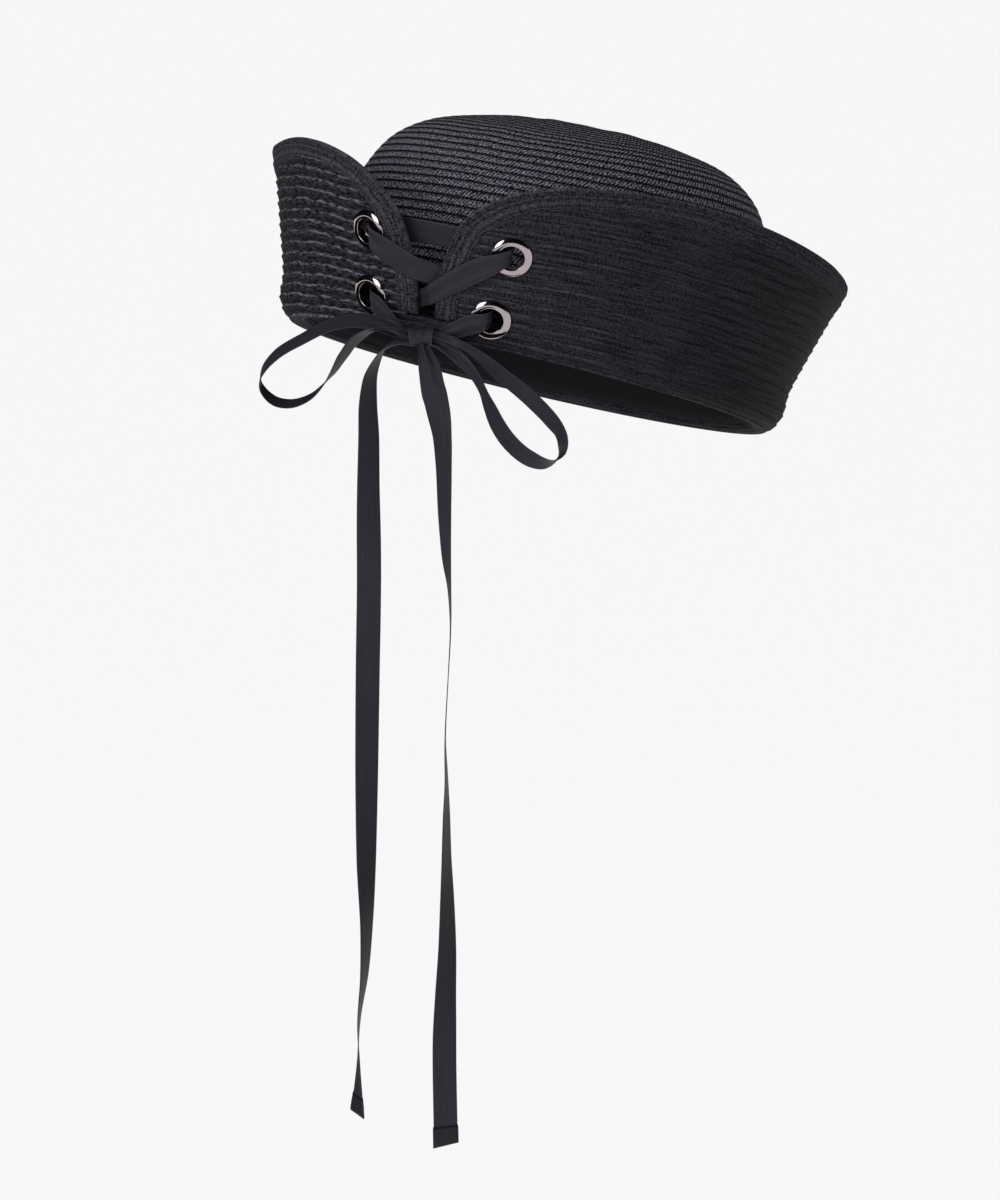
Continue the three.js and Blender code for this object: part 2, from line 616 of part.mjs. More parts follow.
const hat = new THREE.Group();
hat.rotation.set(radians(TIP_FORWARD), radians(TIP_SIDEWAYS), 0);
hat.add(piece('crown', crownGeometry(), BRAID));
hat.add(piece('brim', brimGeometry(), BRAID));
hat.add(piece('edge_braid', edgeBraidGeometry(), EDGE));
hat.add(piece('sweatband', sweatbandGeometry(), CLOTH));
hat.add(piece('lace', laceGeometry(), SATIN));
for (const eyelet of EYELETS) {
  const ring = piece(eyelet.name, eyeletGeometry(), GUNMETAL);
  ring.applyMatrix4(eyeletFrame(eyelet));
  hat.add(ring);
}
sailorHat.add(hat);

const bow = new THREE.Group();
bow.position.copy(KNOT_PLACE);
bow.rotation.z = radians(BOW_PLANE_TURN);
bow.add(piece('bow_knot', knotGeometry(), SATIN));
bow.add(piece('bow_loop_left', ribbon(bowStations(LEFT_LOOP)), SATIN));
bow.add(piece('bow_loop_right', ribbon(bowStations(RIGHT_LOOP)), SATIN));
bow.add(piece('ribbon_tail_left', tailGeometry(LEFT_TAIL), SATIN));
bow.add(piece('ribbon_tail_right', tailGeometry(RIGHT_TAIL), SATIN));
sailorHat.add(bow);

export default sailorHat;
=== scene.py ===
"""Sailor hat of black sewn braid with a laced back: its visible surfaces, finishes, light and camera.

Lengths are metres in the part's own frame, where +Z is up as the hat is worn and -Y points at the slit and
the bow. Tables are written in millimetres and turned to metres where they stand. Angles are degrees, and an
angle round the hat starts at the slit and grows towards +X. A height on the brim runs up its slanted outer
face from the fold, and a lift is measured straight out of that face.
"""
import math
from functools import partial
from types import SimpleNamespace

import bmesh
import bpy
import numpy as np
from bpy.props import FloatProperty, FloatVectorProperty, PointerProperty
from mathutils import Matrix, Vector


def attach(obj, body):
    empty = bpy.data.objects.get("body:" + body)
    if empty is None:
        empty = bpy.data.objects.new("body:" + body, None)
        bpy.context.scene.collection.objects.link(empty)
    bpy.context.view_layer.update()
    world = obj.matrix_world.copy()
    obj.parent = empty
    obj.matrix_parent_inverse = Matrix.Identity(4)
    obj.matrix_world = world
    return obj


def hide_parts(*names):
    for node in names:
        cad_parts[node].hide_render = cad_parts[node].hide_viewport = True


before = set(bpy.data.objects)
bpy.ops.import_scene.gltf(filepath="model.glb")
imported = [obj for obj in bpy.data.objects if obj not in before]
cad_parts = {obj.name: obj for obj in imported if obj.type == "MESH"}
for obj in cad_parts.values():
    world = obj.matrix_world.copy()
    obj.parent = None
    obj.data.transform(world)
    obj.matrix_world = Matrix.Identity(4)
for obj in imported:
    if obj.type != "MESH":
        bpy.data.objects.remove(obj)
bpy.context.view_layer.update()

bl_info = {
    "name": "Laced Sailor Hat",
    "version": (1, 0, 0),
    "blender": (4, 5, 0),
    "location": "3D View > Sidebar > Hat",
    "description": "Braid, lacing, bow and studio for a sailor hat with a laced back",
    "category": "Object",
}

MM = 0.001

# Shape of the hat
TIP_FORWARD = -15.9
TIP_SIDEWAYS = 7.6
FOLD_HALF_LENGTH = 0.106
FOLD_HALF_WIDTH = 0.092
MEAN_RADIUS = (FOLD_HALF_LENGTH + FOLD_HALF_WIDTH) / 2
METRES_PER_DEGREE = FOLD_HALF_WIDTH * math.radians(1)
BRAID_WALL = 0.002
FOLD_RADIUS = 0.0036
LIP_HEIGHT = 0.004
LIP_LEAN = 9
SLIT_FLOOR = 0.006
ROWS_BELOW_FACE = 5
ROLL_SIZE = 0.0024
ROLL_HEIGHT = 0.007
ROLL_ANGLES = (24, 55)

# Columns of the brim, close together near the slit and the eyelets
BRIM_FINE_ANGLE = 22
BRIM_FINE_STEP = 0.4
BRIM_FAR_COLUMNS = 450

# Lean of the brim away from upright: angle from the slit, lean
BRIM_FLARE = np.array([(0, 28.8), (50, 18.6), (95, 16.8), (180, 17)])

# Free edge of the brim: angle from the slit, height on the right flap, height on the left flap
FLAP_EDGE = np.array([
    (2.1, 6.3, 6.3),
    (2.2, 15, 15),
    (3, 26, 26),
    (4.4, 36, 36),
    (6.5, 46, 46),
    (10.5, 54.5, 54.5),
    (15, 60.5, 60.5),
    (22, 65.5, 65),
    (35, 69.5, 67),
    (55, 71, 65.2),
    (85, 67.3, 60.4),
    (120, 61, 58.5),
    (150, 58.5, 58),
    (180, 58, 58),
]) * (1, MM, MM)
EDGE_BRAID_WIDTH = 0.0082
EDGE_ROW_SHARE = 0.58
EDGE_ROW_END = 1.94
EDGE_ROUND_SHARE = 0.12
EDGE_OVERLAP_SHARE = 0.55
EDGE_RELIEF = 0.0006
EDGE_STAND_OFF = 0.00018
EDGE_COLUMNS = 720

# Crown from its lower edge to the middle of its top: mean radius, height
CROWN_PROFILE = np.array([
    (94.2, 7.6),
    (90.5, 30),
    (86.5, 52),
    (82, 68),
    (75, 80),
    (63, 88.5),
    (45, 93.6),
    (22, 95.8),
    (0, 96.2),
]) * MM
CROWN_COLUMNS = 300
CROWN_LINING_ROWS = 26
CROWN_RELIEF_SHARE = 0.75
CROWN_TOP_TIP = 2.6
CROWN_TIP_TOWARDS = 22
SHOULDER_SAG = 0.0027
SHOULDER_SAG_AT = 15
SHOULDER_SAG_SPREAD = 50

# Eyelets on the brim: node, angle, height
EYELETS = [
    ("eyelet_upper_left", -13.4, 36.4 * MM),
    ("eyelet_upper_right", 16.5, 36.4 * MM),
    ("eyelet_lower_left", -14.3, 11.4 * MM),
    ("eyelet_lower_right", 14.7, 10.8 * MM),
]

EYELET_HOLE = 0.0053

# Rounded stretches of an eyelet's section, in millimetres: middle's radius and lift, size, swing and steps
EYELET_ARCS = [
    (5, 1.1, 0.4, 180, 95, 8),
    (4.856, -2.627, 4.13, 88, 54, 14),
    (7.22, 0.34, 0.36, 48, -30, 8),
]

# Rest of the section, under the rim, round the back and up the bore, in millimetres: radius, lift
EYELET_BACK = [
    (7.4, 0),
    (5, 0),
    (5, -2.6),
    (7, -2.6),
    (7, -3.2),
    (4.8, -3.2),
    (4.6, -2.9),
    (4.6, -1),
    (4.6, 0.6),
]

# Bow frame: its plane is turned from the back towards +X. Rows give places right of the knot, out of the
# plane towards the viewer and down, then the ribbon's turn, 0 face on and 90 edge on, and its width.
BOW_PLANE_TURN = 22
KNOT_PLACE = (0.0005, -0.1075, 0.028)
KNOT_HALF_WIDTH = 0.00435
KNOT_HALF_DEPTH = 0.0033
KNOT_HALF_HEIGHT = 0.0029
KNOT_RISE = 0.0008
KNOT_RADIUS = 0.0034

# How far a ribbon runs on out of sight, how deep its folds may be, and points across it
LOOP_TUCK = 0.0025
TAIL_TUCK = 0.0035
LACE_TUCK = 0.0035
RIBBON_FOLD_DEPTH = 0.0009
RIBBON_POINTS = 17

LEFT_LOOP = np.array([
    (-5.5, 0.2, -0.9, 0, 3.2),
    (-8, 0.1, -2.2, 15, 4.6),
    (-11.5, 0, -4.2, 38, 6.6),
    (-17.5, -1, -5.8, 58, 9),
    (-26, -2, -6.2, 62, 9),
    (-34.5, -3, -4, 67, 9),
    (-43, -4, 0.5, 70, 9),
    (-52.5, -5, 6.2, 72, 9),
    (-57.8, -5.5, 12, 79, 9),
    (-59.3, -6, 16.3, 90, 9),
    (-58.3, -6, 20, 100, 9),
    (-54, -6, 24.1, 105, 9),
    (-47.8, -5, 25, 103, 9),
    (-41, -4, 22.5, 97, 9),
    (-36.3, -3, 18.2, 90, 9),
    (-32.5, -2, 13.4, 76, 9),
    (-28.2, -0.5, 6.2, 65, 9),
    (-24, 0.8, 0.5, 64, 9),
    (-18.6, 1.8, -3, 72, 8.8),
    (-13.4, 2.2, -4, 78, 6.5),
    (-8.6, 2.1, -2.8, 45, 4.6),
    (-5.5, 1.9, -1.4, 5, 3.2),
]) * (MM, MM, MM, 1, MM)

RIGHT_LOOP = np.array([
    (5.2, 2.2, -1, 0, 3.2),
    (8, 2.6, -0.2, 20, 4.4),
    (11.5, 3.5, 1, 40, 6),
    (18, 6, 3.6, 60, 8.5),
    (24, 7.5, 7.7, 54, 9),
    (30, 8, 12.7, 48, 9),
    (36.4, 8, 17.8, 45, 9),
    (42.7, 7, 23.7, 45, 9),
    (48.4, 6, 30.1, 48, 9),
    (51.7, 5, 35.8, 60, 9),
    (51.8, 4, 40.7, 70, 9),
    (49.8, 3.5, 44.5, 99, 9),
    (45.1, 3.3, 45.9, 128, 9),
    (39.2, 3.2, 43.7, 139, 9),
    (33.2, 3.2, 38.6, 138, 9),
    (28.7, 3.2, 32.3, 134, 9),
    (25.5, 3, 25.3, 124, 9),
    (23, 2.8, 19.4, 113, 9),
    (20, 2.4, 13.7, 118, 8.4),
    (15.3, 1.6, 8.1, 136, 7),
    (10, 0.9, 3.8, 158, 5),
    (7.5, 0.7, 2.2, 175, 4),
    (5.2, 0.6, 1.4, 180, 3.2),
]) * (MM, MM, MM, 1, MM)

LEFT_TAIL = np.array([
    (-5.2, 0.6, 1.6, -98, 3),
    (-8, 1, 1.2, -95, 5),
    (-11.5, 1.8, 2.4, -87, 8),
    (-14.2, 2.5, 4.9, -78, 9),
    (-16.4, 2.6, 8.6, -69, 9),
    (-18.4, 2, 13.8, -58, 9),
    (-19.4, 1, 24, -44, 9),
    (-19.2, 0, 37, -33, 9),
    (-19.4, 0, 56, -24, 9),
    (-19.3, 0, 90, 0, 9),
    (-19.9, 0, 124, -9, 9),
    (-20.4, 0, 160, -20, 9),
    (-20.7, 0, 196, -38, 9),
    (-20.7, 0, 221, -60, 9),
    (-21.6, 0, 240, -71, 9),
    (-23.7, 0, 258, -84, 9),
    (-23.9, 0, 274, -98, 9),
    (-24.1, 0, 284, -110, 9),
    (-24.5, 0, 294, -124, 9),
]) * (MM, MM, MM, 1, MM)

RIGHT_TAIL = np.array([
    (1.4, 1.6, 4, 0, 4.4),
    (3.1, 2.2, 10, 0, 8),
    (4.5, 2, 18, 0, 9),
    (6.1, 1.5, 25, 8, 9),
    (7.8, 1, 36, 38, 9),
    (8.4, 0.5, 48, 49, 9),
    (8.7, 0, 66, 57, 9),
    (9.4, 0, 83, 68, 9),
    (10.4, 0, 94, 81, 9),
    (10.8, 0, 108, 88, 9),
    (9.9, 0, 127, 90, 9),
    (8.8, 0, 150, 91, 9),
    (9.2, 0, 166, 97, 9),
    (9.2, 0, 179, 106, 9),
    (9.2, 0, 196, 113, 9),
    (9.4, 0, 211, 124, 9),
    (9.4, 0, 230, 137, 9),
    (8.7, 0, 250, 152, 9),
    (8.3, 0, 269, 172, 9),
    (8.8, 0, 306, 178, 9),
]) * (MM, MM, MM, 1, MM)

# Laced stretch on the brim: angle, height, lift off the outer face (negative is behind the wall), width
LACE_ROUTE = np.array([
    (3.4, 1, 2, 3.2),
    (7, 4.2, 2.8, 6),
    (11, 8.4, 3, 7.6),
    (13.6, 10.2, 2.6, 7),
    (14.7, 10.8, -0.6, 6.6),
    (14.3, 11.2, -4.6, 6.6),
    (11.5, 13.6, -5, 8),
    (7.5, 17, -3.6, 8),
    (3.6, 20.8, -3, 7.6),
    (0.6, 23.4, -1.6, 8.2),
    (-2, 25.2, 0.7, 8.6),
    (-5, 27.3, 1.2, 9),
    (-8.6, 31, 2.4, 9),
    (-11.6, 35, 3.1, 7),
    (-13.4, 36.4, -0.6, 6.6),
    (-12.8, 36.6, -4.8, 7),
    (-8.6, 36.8, -6, 9),
    (0, 37, -7, 9),
    (9, 36.8, -6, 9),
    (15.7, 36.6, -4.8, 7),
    (16.5, 36.4, -0.6, 6.6),
    (14.7, 34.9, 3, 6.8),
    (11, 30.2, 2.4, 8.6),
    (7, 24.2, 1.2, 8.4),
    (3.6, 19.4, 1, 7.6),
    (1, 15.8, 0.2, 7),
    (-1, 13.4, -2, 6.6),
    (-3.6, 11.6, -3.2, 6.6),
    (-8, 11.2, -4.2, 7.6),
    (-11.6, 11.2, -5.2, 7.6),
    (-14, 11.4, -4.4, 6.6),
    (-14.3, 11.4, -0.6, 6.6),
    (-13, 10.6, 2.6, 7),
    (-10.4, 8, 3.2, 7.4),
    (-6.8, 4, 4.4, 6),
    (-3.2, 0.8, 6, 3.2),
]) * (1, MM, MM, MM)

# Place along the map where a hemmed end lies, in millimetres, far from all others
HEM_END = -1000

# Length over which a ribbon thickens to its hem, and inset and width of the hem's stitched groove
HEM_STEP = 0.0008
HEM_STITCH_INSET = 0.0018
HEM_STITCH_WIDTH = 0.0005

# Photograph's view: direction from the hat to the camera, distance, focal length and the origin's pixel
VIEW_AZIMUTH = 21.9
VIEW_ELEVATION = 8.0
VIEW_DISTANCE = 2.31
FOCAL_PIXELS = 6008
IMAGE_SIZE = (1000, 1200)
ORIGIN_PIXEL = (528.4, 376.0)
SENSOR = 36.0

# Shape across one braid row: share of the row from its tucked edge to its free edge, share of the relief
CROWN_ROW = np.array([(0, 0), (0.08, 0.55), (0.3, 0.8), (0.6, 0.94), (0.86, 1), (0.96, 0.86)])
BRIM_ROW = np.array([(0, 0), (0.1, 0.35), (0.4, 0.6), (0.72, 0.76), (0.87, 1), (0.96, 0.8)])


def linear(colour):
    """Linear red, green, blue and alpha of an sRGB hex colour."""
    values = [int(colour[i:i + 2], 16) / 255 for i in (1, 3, 5)]
    return (*(v / 12.92 if v <= 0.04045 else ((v + 0.055) / 1.055) ** 2.4 for v in values), 1)


class HatBraidSettings(bpy.types.PropertyGroup):
    """Sizes and colours of the sewn braid"""

    row_pitch: FloatProperty(
        name="Brim row pitch", description="Width of braid that shows in each sewn row of the brim",
        default=0.00405, min=0.002, max=0.01, unit="LENGTH")
    crown_pitch: FloatProperty(
        name="Crown row pitch", description="Width of braid that shows in each sewn row of the crown",
        default=0.0037, min=0.002, max=0.01, unit="LENGTH")
    row_relief: FloatProperty(
        name="Row relief", description="How far a row's free edge stands off the row that it laps",
        default=0.0007, min=0, max=0.002, unit="LENGTH")
    slit_dip: FloatProperty(
        name="Dip at the slit", description="How far the brim's rows dip towards the slit",
        default=0.0022, min=0, max=0.006, unit="LENGTH")
    row_wave: FloatProperty(
        name="Row wave", description="How far a sewn row strays up and down",
        default=0.0004, min=0, max=0.002, unit="LENGTH")
    wall_wave: FloatProperty(
        name="Wall wave", description="How far the braid wall strays in and out",
        default=0.0003, min=0, max=0.002, unit="LENGTH")
    strand_colour: FloatVectorProperty(
        name="Strand", description="Colour of the dyed strand in its hollows",
        default=linear("#050507")[:3], size=3, subtype="COLOR", min=0, max=1)
    # The glints are painted highlights on single strands
    crown_glint: FloatVectorProperty(
        name="Crown glint", description="Colour of the crown's strand where it catches light",
        default=linear("#9f9cab")[:3], size=3, subtype="COLOR", min=0, max=1)
    brim_glint: FloatVectorProperty(
        name="Brim glint", description="Colour of the brim's strand where it catches light",
        default=linear("#5f5d68")[:3], size=3, subtype="COLOR", min=0, max=1)


class HatRibbonSettings(bpy.types.PropertyGroup):
    """Sizes and colours of the satin ribbon"""

    width: FloatProperty(
        name="Width", description="Width of the flat ribbon",
        default=0.009, min=0.003, max=0.03, unit="LENGTH")
    thickness: FloatProperty(
        name="Thickness", description="Thickness of the ribbon",
        default=0.00034, min=0.0001, max=0.001, unit="LENGTH")
    hem_length: FloatProperty(
        name="Hem", description="Length of the folded hem at a tail's end",
        default=0.0078, min=0.002, max=0.03, unit="LENGTH")
    hem_thickness: FloatProperty(
        name="Hem thickness", description="Thickness of the folded hem",
        default=0.0011, min=0.0003, max=0.003, unit="LENGTH")
    step: FloatProperty(
        name="Step", description="Distance between sections along a ribbon",
        default=0.0008, min=0.0003, max=0.003, unit="LENGTH")
    ground_colour: FloatVectorProperty(
        name="Ground", description="Colour of the satin between its floats",
        default=linear("#27252d")[:3], size=3, subtype="COLOR", min=0, max=1)
    # Paler floats, partly painted sheen, and the painted highlight on the selvages take this colour
    float_and_highlight_colour: FloatVectorProperty(
        name="Floats", description="Colour of the satin's paler floats and selvages",
        default=linear("#32303a")[:3], size=3, subtype="COLOR", min=0, max=1)


class HatStageSettings(bpy.types.PropertyGroup):
    """Floor and studio light"""

    floor_drop: FloatProperty(
        name="Floor", description="Depth of the floor below the head opening",
        default=0.45, min=0.28, max=2, unit="LENGTH")
    floor_glow: FloatProperty(
        name="Floor glow", description="Light that the evenly lit pale sweep sends back",
        default=0.91, min=0, max=2)
    surround: FloatProperty(
        name="Surround", description="Strength of the even light from all round",
        default=0.62, min=0, max=2)
    key_power: FloatProperty(
        name="Key", description="Power of the soft light at the upper left",
        default=3.5, min=0, max=500, unit="POWER")
    rim_power: FloatProperty(
        name="Rim", description="Power of the soft light at the upper right behind the hat",
        default=1.2, min=0, max=500, unit="POWER")


def add_node(tree, kind, *values, **settings):
    """Adds a shader node with its settings. Its inputs are values in order, or one table of them by socket.

    A socket among them is linked, and so is the first output of a node."""
    node = tree.nodes.new(f"ShaderNode{kind}")
    for name, setting in settings.items():
        setattr(node, name, setting)
    inputs = values[0] if values and isinstance(values[0], dict) else dict(enumerate(values))
    for socket, value in inputs.items():
        if isinstance(value, bpy.types.Node):
            value = value.outputs[0]
        if isinstance(value, bpy.types.NodeSocket):
            tree.links.new(value, node.inputs[socket])
        else:
            node.inputs[socket].default_value = value
    return node


def new_material(name):
    """An empty node material, and add_node for its tree."""
    material = bpy.data.materials.new(name)
    material.use_nodes = True
    material.node_tree.nodes.clear()
    return material, partial(add_node, material.node_tree)


def smooth_step(value, low, high):
    """0 below low, 1 above high, eased between them."""
    share = np.clip((value - low) / (high - low), 0, 1)
    return share * share * (3 - 2 * share)


def eased(rows, angles):
    """Second column of a table at angles from the slit, eased between rows of its first column."""
    place = np.clip(np.abs(angles), 0, 180)
    after = np.clip(np.searchsorted(rows[:, 0], place), 1, len(rows) - 1)
    low, high = rows[after - 1], rows[after]
    return low[..., 1] + (high[..., 1] - low[..., 1]) * smooth_step(place, low[..., 0], high[..., 0])


def through(points, samples):
    """Centripetal Catmull-Rom curve through rows of points, with samples in each span."""
    ends = np.vstack([2 * points[0] - points[1], points, 2 * points[-1] - points[-2]])
    steps = np.sqrt(np.linalg.norm(np.diff(ends, axis=0), axis=1, keepdims=True))
    steps = np.where(steps < 1e-4, 1, steps)
    a, b, c, d = ends[:-3], ends[1:-2], ends[2:-1], ends[3:]
    before, span, after = steps[:-2], steps[1:-1], steps[2:]
    leave = ((b - a) / before - (c - a) / (before + span) + (c - b) / span) * span
    reach = ((c - b) / span - (d - b) / (span + after) + (d - c) / after) * span
    t = (np.arange(samples) / samples)[:, None, None]
    curve = (
        (2 * t**3 - 3 * t**2 + 1) * b + (t**3 - 2 * t**2 + t) * leave
        + (3 * t**2 - 2 * t**3) * c + (t**3 - t**2) * reach
    )
    return np.vstack([curve.transpose(1, 0, 2).reshape(-1, points.shape[1]), points[-1:]])


def run_length(points):
    """Distance run along a row of points at each of them."""
    return np.concatenate([[0], np.cumsum(np.linalg.norm(np.diff(points, axis=0), axis=1))])


def columns_at(places, known, columns):
    """Each column read at places along known, in straight lines between its values."""
    return np.stack([np.interp(places, known, column) for column in columns.T], axis=-1)


def unit(vectors):
    """Vectors of length 1."""
    return vectors / np.maximum(np.linalg.norm(vectors, axis=-1, keepdims=True), 1e-12)


def waves(place, across, seed, lengths):
    """Sum of slow waves along place, whose phase drifts with across, scaled to about -1 to 1."""
    rng = np.random.default_rng(seed)
    total = 0
    for length in lengths:
        phase, drift = rng.uniform(0, 2 * math.pi), rng.uniform(0.5, 1.5) / 0.02
        total = total + np.sin(2 * math.pi * place / length + phase + drift * across)
    return total / len(lengths)


HAT_TURN = np.array(
    Matrix.Rotation(math.radians(TIP_FORWARD), 3, "X") @ Matrix.Rotation(math.radians(TIP_SIDEWAYS), 3, "Y"))
BOW_TURN = np.array(Matrix.Rotation(math.radians(BOW_PLANE_TURN), 3, "Z"))


def hat_to_part(points):
    """Points of the upright hat in the part's frame, where the hat is tipped."""
    return points @ HAT_TURN.T


def bow_to_part(points):
    """Points of the bow's frame in the part's frame."""
    return points @ BOW_TURN.T + np.array(KNOT_PLACE)


def fold_plane_point(angle, out, up):
    """Point in the upright plane that crosses the fold ellipse squarely: out from the ellipse, and up."""
    angle, out, up = np.broadcast_arrays(np.radians(angle), out, up)
    sine, cosine = np.sin(angle), np.cos(angle)
    normal = unit(np.stack([FOLD_HALF_LENGTH * sine, -FOLD_HALF_WIDTH * cosine], axis=-1))
    return np.stack([
        FOLD_HALF_WIDTH * sine + out * normal[..., 0],
        -FOLD_HALF_LENGTH * cosine + out * normal[..., 1],
        up,
    ], axis=-1)


def roll_at(angle, height):
    """How far the roll above the fold stands out: a bell in height, faded out towards the slit."""
    return ROLL_SIZE * smooth_step(np.abs(angle), *ROLL_ANGLES) * np.exp(-((height / ROLL_HEIGHT - 1) ** 2))


def brim_point(angle, height, lift):
    """Point of the brim: height up the slant that leans by the flare, lift square to it, plus the roll."""
    lean = np.radians(eased(BRIM_FLARE, np.asarray(angle, float)))
    out = height * np.sin(lean) + lift * np.cos(lean) + roll_at(angle, height)
    return fold_plane_point(angle, out, height * np.cos(lean) - lift * np.sin(lean))


def brim_directions(angle, height):
    """Directions on the brim: up the slant, and straight out of its face."""
    up_face = unit(brim_point(angle, height + 0.001, 0) - brim_point(angle, height, 0))
    around = brim_point(angle + 1, height, 0) - brim_point(angle - 1, height, 0)
    return up_face, unit(np.cross(around, up_face))


def fold_start(angle):
    """Lean of the brim in radians, and the height on its face where the round of the fold starts."""
    lean = np.radians(eased(BRIM_FLARE, np.asarray(angle, float)))
    return lean, FOLD_RADIUS * (1 - np.sin(lean)) / np.cos(lean)


def edge_line(inset):
    """Free edge on the unrolled brim, moved in by inset: rows of angle and height from slit to slit."""
    sides = []
    for column in (1, 2):
        table = np.stack([FLAP_EDGE[:, 0] * METRES_PER_DEGREE, FLAP_EDGE[:, column]], axis=1)
        line = through(table, samples=16)
        along = unit(np.gradient(line, axis=0))
        inward = np.stack([along[:, 1], -along[:, 0]], axis=1)
        inward[0], inward[-1] = (1, 0), (0, -1)
        line = line + inward * inset
        sides.append(np.stack([line[:, 0] / METRES_PER_DEGREE, line[:, 1]], axis=1))
    right, left = sides
    left = left[::-1][1:] * (-1, 1) + (360, 0)
    return np.vstack([right, left])


def turned(angle):
    """Angles over 180 as negative ones, on the left of the slit."""
    return np.where(angle > 180, angle - 360, angle)


def row_profile(table, rows):
    """Rise of a lapped braid row at row numbers: from 0 at its tucked edge to 1 near its free edge."""
    share = rows - np.floor(rows)
    return np.interp(share, np.append(table[:, 0], 1), np.append(table[:, 1], 0))


def grid_index(rows, columns, wrap_rows=False, wrap_columns=False):
    """Vertex numbers of a grid, with the first row or column again at the end where it wraps."""
    index = np.arange(rows * columns).reshape(rows, columns)
    if wrap_rows:
        index = np.vstack([index, index[:1]])
    if wrap_columns:
        index = np.hstack([index, index[:, :1]])
    return index


def corner_values(nodes):
    """Values of a grid's nodes at the four corners of each of its faces."""
    return np.stack([nodes[:-1, :-1], nodes[1:, :-1], nodes[1:, 1:], nodes[:-1, 1:]], axis=2)


def ruled_map(along, across):
    """Map in millimetres at a grid's face corners, from places along and across it that fill the grid."""
    return corner_values(np.stack(np.broadcast_arrays(along, across), axis=-1)) * 1000


def add_object(name, data):
    """A new object in the scene, at the origin."""
    added = bpy.data.objects.new(name, data)
    bpy.context.scene.collection.objects.link(added)
    return added


def surface(name, points, index, pattern, material, node, keep=None):
    """A closed smooth surface for a CAD node, from a grid of vertex numbers and a map at the face corners.

    Faces are turned outwards by the sign of the volume that they enclose, and corners that fall together
    are merged."""
    points = points.reshape(-1, 3)
    faces = corner_values(index).reshape(-1, 4)
    pattern = pattern.reshape(-1, 4, 2)
    if keep is not None:
        faces, pattern = faces[keep.ravel()], pattern[keep.ravel()]
    used, faces = np.unique(faces, return_inverse=True)
    points, faces = points[used], faces.reshape(-1, 4)
    a, b, c, d = (points[faces[:, k]] for k in range(4))
    volume = np.einsum("ij,ij->", a, np.cross(b, c)) + np.einsum("ij,ij->", a, np.cross(c, d))
    if volume < 0:
        faces, pattern = faces[:, ::-1], pattern[:, ::-1]
    mesh = bpy.data.meshes.new(name)
    mesh.vertices.add(len(points))
    mesh.vertices.foreach_set("co", points.astype(np.float32).ravel())
    mesh.loops.add(faces.size)
    mesh.loops.foreach_set("vertex_index", faces.astype(np.int32).ravel())
    mesh.polygons.add(len(faces))
    mesh.polygons.foreach_set("loop_start", np.arange(0, faces.size, 4, dtype=np.int32))
    mesh.update(calc_edges=True)
    layer = mesh.uv_layers.new(name="braid")
    layer.data.foreach_set("uv", pattern.astype(np.float32).ravel())
    merge = bmesh.new()
    merge.from_mesh(mesh)
    bmesh.ops.remove_doubles(merge, verts=merge.verts, dist=1e-6)
    merge.to_mesh(mesh)
    merge.free()
    mesh.polygons.foreach_set("use_smooth", np.ones(len(mesh.polygons), dtype=bool))
    mesh.materials.append(material)
    mesh.update()
    piece = add_object(name, mesh)
    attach(piece, "root")
    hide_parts(node)
    return piece


def plaited_paper(name, pitch, strand, slant, ribbing, grain, detail, dull, bright):
    """Black paper braid, a flat plait of twisted strands: matte, with a painted dry glint on single strands.

    The map's first axis runs along a sewn row and its second across rows, in millimetres. The strands lie
    strand millimetres apart and lean by slant strands over one row, and ribbing is how much they show. They
    are drawn about twice as coarse as real ones, which would be too fine to show. The grain is how many
    times the paper turns in a millimetre along and across the row, detail is how finely it frays, and its
    facets glint from dull to bright."""
    material, add = new_material(name)
    place = add("UVMap", uv_map="braid")
    along, across, _ = add("SeparateXYZ", place).outputs
    row_share = add("Math", add("Math", across, pitch * 1000, operation="DIVIDE"), operation="FRACT")
    stray = add("TexNoise", {"Vector": place, "Scale": 0.4, "Detail": 2.0}, noise_dimensions="2D")
    count = add("Math", add("Math", along, strand, operation="DIVIDE"), stray, operation="ADD")
    count = add("Math", row_share, slant, count, operation="MULTIPLY_ADD")
    strands = add("Math", add("Math", count, 2 * math.pi, operation="MULTIPLY"), operation="SINE")
    drawn = add("VectorMath", place, (*grain, 1), operation="MULTIPLY")
    turns = add("TexNoise", {"Vector": drawn, "Scale": 1.0, "Detail": detail, "Roughness": 0.75},
                noise_dimensions="2D")
    facets = add("Math", strands, ribbing, turns, operation="MULTIPLY_ADD")
    glint = add("MapRange", facets, dull, bright, 0.0, 1.0)
    return SimpleNamespace(
        material=material, add=add, place=place, along=along, across=across, row_share=row_share,
        strands=strands, ribbing=ribbing, turns=turns, glint=glint)


def dyed_braid_with_shine(braid, settings, glint_colour, shine, depth):
    """Paints a braid from the dyed strand's colour to its painted glint by shine, with relief depth metres
    deep.
    """
    add = braid.add
    paint = add("Mix", {0: shine, 6: (*settings.strand_colour, 1), 7: (*glint_colour, 1)}, data_type="RGBA")
    ribs = add("Math", braid.strands, braid.ribbing * 1.5, operation="MULTIPLY")
    height = add("Math", braid.turns, 1.4, ribs, operation="MULTIPLY_ADD")
    relief = add("Bump", {"Strength": 1.0, "Distance": depth, "Height": height})
    shader = add("BsdfPrincipled", {
        "Base Color": paint.outputs[2], "Roughness": 0.75, "IOR": 1.14, "Normal": relief})
    add("OutputMaterial", {"Surface": shader})
    return braid.material


